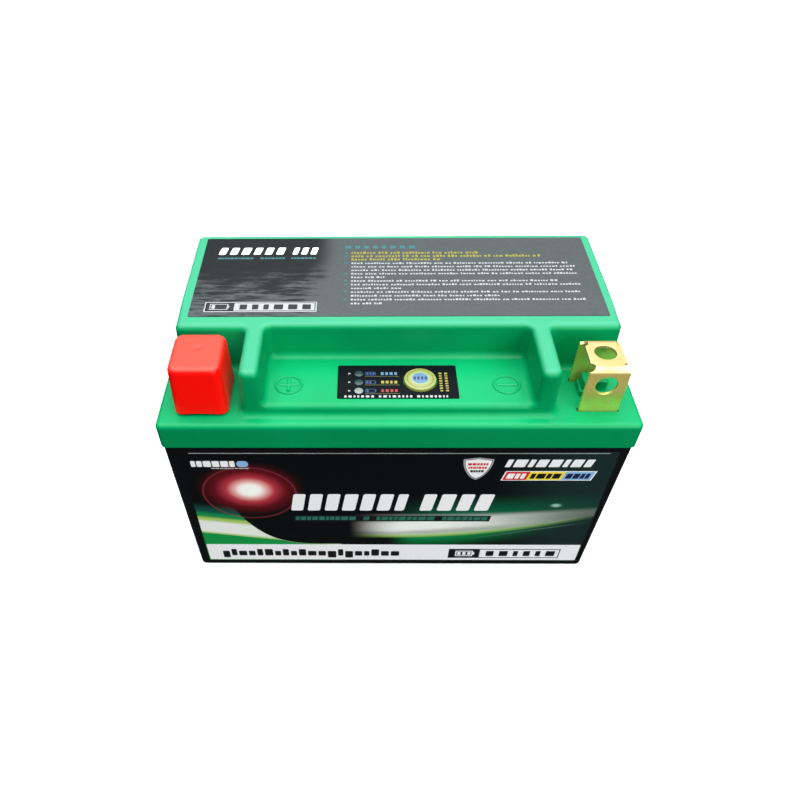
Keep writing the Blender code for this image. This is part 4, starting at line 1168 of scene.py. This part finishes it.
def make_button():
    """Domed test button with printed rings, which are faces of the dome in their own inks."""
    low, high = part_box("test_button")
    top = high.z
    rings = [(0.0, 0.0), (0.0012, 0.00001), (0.0025, 0.00004), (0.0031, 0.00007), (0.0040, 0.00013),
             (0.0042, 0.00019), (0.0047, 0.00024), (0.0050, 0.00036), (BUTTON_R, 0.00052),
             (BUTTON_R, 0.00130), (0.0020, 0.00130), (0.0020, 0.00365), (0.0027, 0.00365),
             (0.0018, top - low.z), (0.0, top - low.z)]
    mesh = turned_mesh("test_button_dome", [(radius, top - drop) for radius, drop in rings], BUTTON)
    names = ["sky", "mint", "lime", "olive"]
    printed = ("sky", "sky", "mint", "lime", "olive")     # the inner rings; the rest are lime
    for index, face in enumerate(mesh.polygons):
        ring = index // BUTTON_STEPS
        face.material_index = names.index(printed[ring] if ring < len(printed) else "lime")
    smooth_by_angle(mesh, 35)
    add_piece("test_button_dome", mesh, [INKS[name] for name in names], "test_button",
              ["test_button"])
    bm = bmesh.new()
    for share in (-0.62, -0.21, 0.21, 0.62):
        middle = BUTTON[0] / MM + 2.8 * share
        outline = rounded_bar((middle - 0.36, BUTTON[1] / MM - 0.70), (middle + 0.36, BUTTON[1] / MM + 0.70),
                              0.14)
        prism(bm, lambda x, y, lift: (x * MM, y * MM, lift), outline, top - 0.0001, top + 0.00001)
    add_piece("test_button_print", mesh_from("test_button_print", bm), [INKS["navy"]], "test_button")


def make_indicator():
    film = make_film("overlay_film", (0.0016, 0.0026, 0.0036), 0.36, coat=0.0, gloss=0.05)
    hole = upright_mesh("film_hole", BUTTON_POCKET_R, BUTTON, TRAY_Z - 0.001, TRAY_Z + 0.001)
    make_plate("indicator_film", tray_face, TRAY_LOW, TRAY_HIGH, film, "indicator_overlay", hole)
    art = Artwork("indicator", tray_face, "overlay", 7)
    rows = (("lamp_full", 3, "sky"), ("lamp_half", 2, "ochre"), ("lamp_low", 1, "brick"))
    for node, bars, ink in rows:
        low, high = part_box(node)
        middle = (low.y + high.y) / 2 / MM - 0.4
        art.shape("silver", [(-15.4, middle + 0.4), (-15.4, middle - 0.4), (-14.6, middle)])
        art.battery("royal", (-10.0, middle - 0.8), (-6.9, middle + 0.8), bars, 0.16)
        art.blocks(ink, (-5.1, middle - 0.65), (0.0, middle + 0.65), 4, corner=0.15, gap=0.45, least=0.7)
        art.bar("olive", (-10.2, middle - 1.42), (0.7, middle - 1.24))
    for start, end, count in ((-16.6, -7.4, 7), (-5.9, 4.4, 8), (5.9, 15.4, 8)):
        art.blocks("silver", (start, -35.0), (end, -34.05), count, corner=0.12, gap=0.55)
    for across in (13.2, 15.0):
        art.blocks("ochre", (across, -32.2), (across + 0.95, -23.4), 8, corner=0.12, gap=0.6, upright=True)
    art.print_inks()
    for node, colour in (("lamp_full", (0.012, 0.030, 0.030)), ("lamp_half", (0.010, 0.034, 0.030)),
                         ("lamp_low", (0.180, 0.195, 0.195))):
        make_window(node.replace("lamp", "window"), node, colour)
    make_button()


# ---- inner pieces
def finish_inner_pieces():
    """Give the pieces inside the case, which keep their CAD shapes, a detailed material."""
    slots = {part["node"]: part["material_slot"] for part in frame["record"]["subparts"]}
    for name, node in NODES.items():
        material = INNER_FINISHES.get(slots[name])
        if material:
            for place in node.material_slots:
                place.material = material


# ---- stage
def make_floor():
    """A pale seamless floor that neither tints nor mirrors in the object."""
    paint = Paint("pale_floor", (0.90, 0.90, 0.90), 0.75)
    tone = paint.noise(4, 2.0)
    paint.feed("Base Color", paint.blend((0.89, 0.89, 0.89), (0.92, 0.92, 0.92), tone))
    bm = bmesh.new()
    bmesh.ops.create_grid(bm, x_segments=8, y_segments=8, size=FLOOR_SIZE / 2)
    floor = add_item(mesh_from("floor", bm))
    floor.data.materials.append(paint.material)
    floor.location.z = -0.0002
    floor.visible_diffuse = False
    floor.visible_glossy = False


def make_sky():
    """A sky that is bright overhead and dim near the horizon, and plain white where it is seen."""
    world = bpy.data.worlds.new("studio")
    bpy.context.scene.world = world
    world.use_nodes = True
    tree = world.node_tree
    tree.nodes.clear()
    direction = add_node(tree, "TexCoord", {}).outputs["Generated"]
    height = Field(tree, add_node(tree, "SeparateXYZ", {0: direction}).outputs["Z"])
    strength = height.step(*SKY_HEIGHTS) * SKY_STRENGTH + SKY_FLOOR
    sky = add_node(tree, "Background", {"Color": SKY_COLOUR, "Strength": strength})
    plain = add_node(tree, "Background", {"Color": (1.0, 1.0, 1.0)})
    seen = add_node(tree, "LightPath", {}).outputs["Is Camera Ray"]
    mix = add_node(tree, "MixShader", {0: seen, 1: sky.outputs[0], 2: plain.outputs[0]})
    add_node(tree, "OutputWorld", {"Surface": mix.outputs[0]})


def make_fill():
    """A soft rectangular lamp in front and to the right."""
    light = bpy.data.lights.new("front_fill", "AREA")
    light.shape = "RECTANGLE"
    light.size, light.size_y = FILL_SIZE
    light.energy = FILL_POWER
    lamp = add_item(light)
    lamp.location = FILL_PLACE
    ahead = Vector(FILL_TARGET) - Vector(FILL_PLACE)
    lamp.rotation_euler = ahead.to_track_quat("-Z", "Y").to_euler()


def make_camera():
    """The view from above the labelled front."""
    data = bpy.data.cameras.new("camera")
    data.sensor_fit = "HORIZONTAL"
    data.sensor_width = CAMERA_SENSOR
    data.lens = CAMERA_LENS
    data.shift_x, data.shift_y = CAMERA_SHIFT
    data.clip_start = 0.01
    yaw, pitch, roll = (math.radians(angle) for angle in CAMERA_TURN)
    ahead = Vector((math.sin(yaw) * math.cos(pitch), math.cos(yaw) * math.cos(pitch), math.sin(pitch)))
    level = Vector((math.cos(yaw), -math.sin(yaw), 0.0))
    up = level.cross(ahead)
    right = level * math.cos(roll) + up * math.sin(roll)
    above = up * math.cos(roll) - level * math.sin(roll)
    turn = Matrix((right, above, -ahead)).transposed().to_4x4()
    camera = add_item(data)
    camera.matrix_world = Matrix.Translation(CAMERA_PLACE) @ turn
    bpy.context.scene.camera = camera


# ---- the whole battery
# the paler top tones of the cap and the cover, each set in over the heights after it, are painted highlights
# of the light from above
CAP_RED = moulded("soft_vinyl", RED, RED_DEEP, 0.34, 0.000004, 0.00004, (0.80, 0.046, 0.028),
                  (92.6, 93.5), specular_ior_level=0.18)
COVER_GREEN = moulded("moulded_green", GREEN, GREEN_DEEP, 0.36, 0.000004, 0.00003,
                      (0.036, 0.262, 0.135), (91.6, 92.7), specular_ior_level=0.14)
CASE_BLACK = moulded("moulded_black", (0.0030, 0.0032, 0.0034), (0.0020, 0.0022, 0.0024), 0.38,
                     0.000008, 0.00003, specular_ior_level=0.4)
BRASS = make_brass()
INKS = {name: make_ink(f"ink_{name}", colour) for name, colour in INK_COLOURS.items()}
make_camera()
make_floor()
make_sky()
make_fill()
make_cover(COVER_GREEN)
make_bosses(COVER_GREEN)
make_marks(COVER_GREEN)
make_container(CASE_BLACK)
for terminal in TERMINALS:
    make_terminal(terminal, BRASS)
make_cap(CAP_RED)
make_front_label()
make_top_label()
make_indicator()
finish_inner_pieces()
bpy.context.scene.view_settings.view_transform = "Standard"
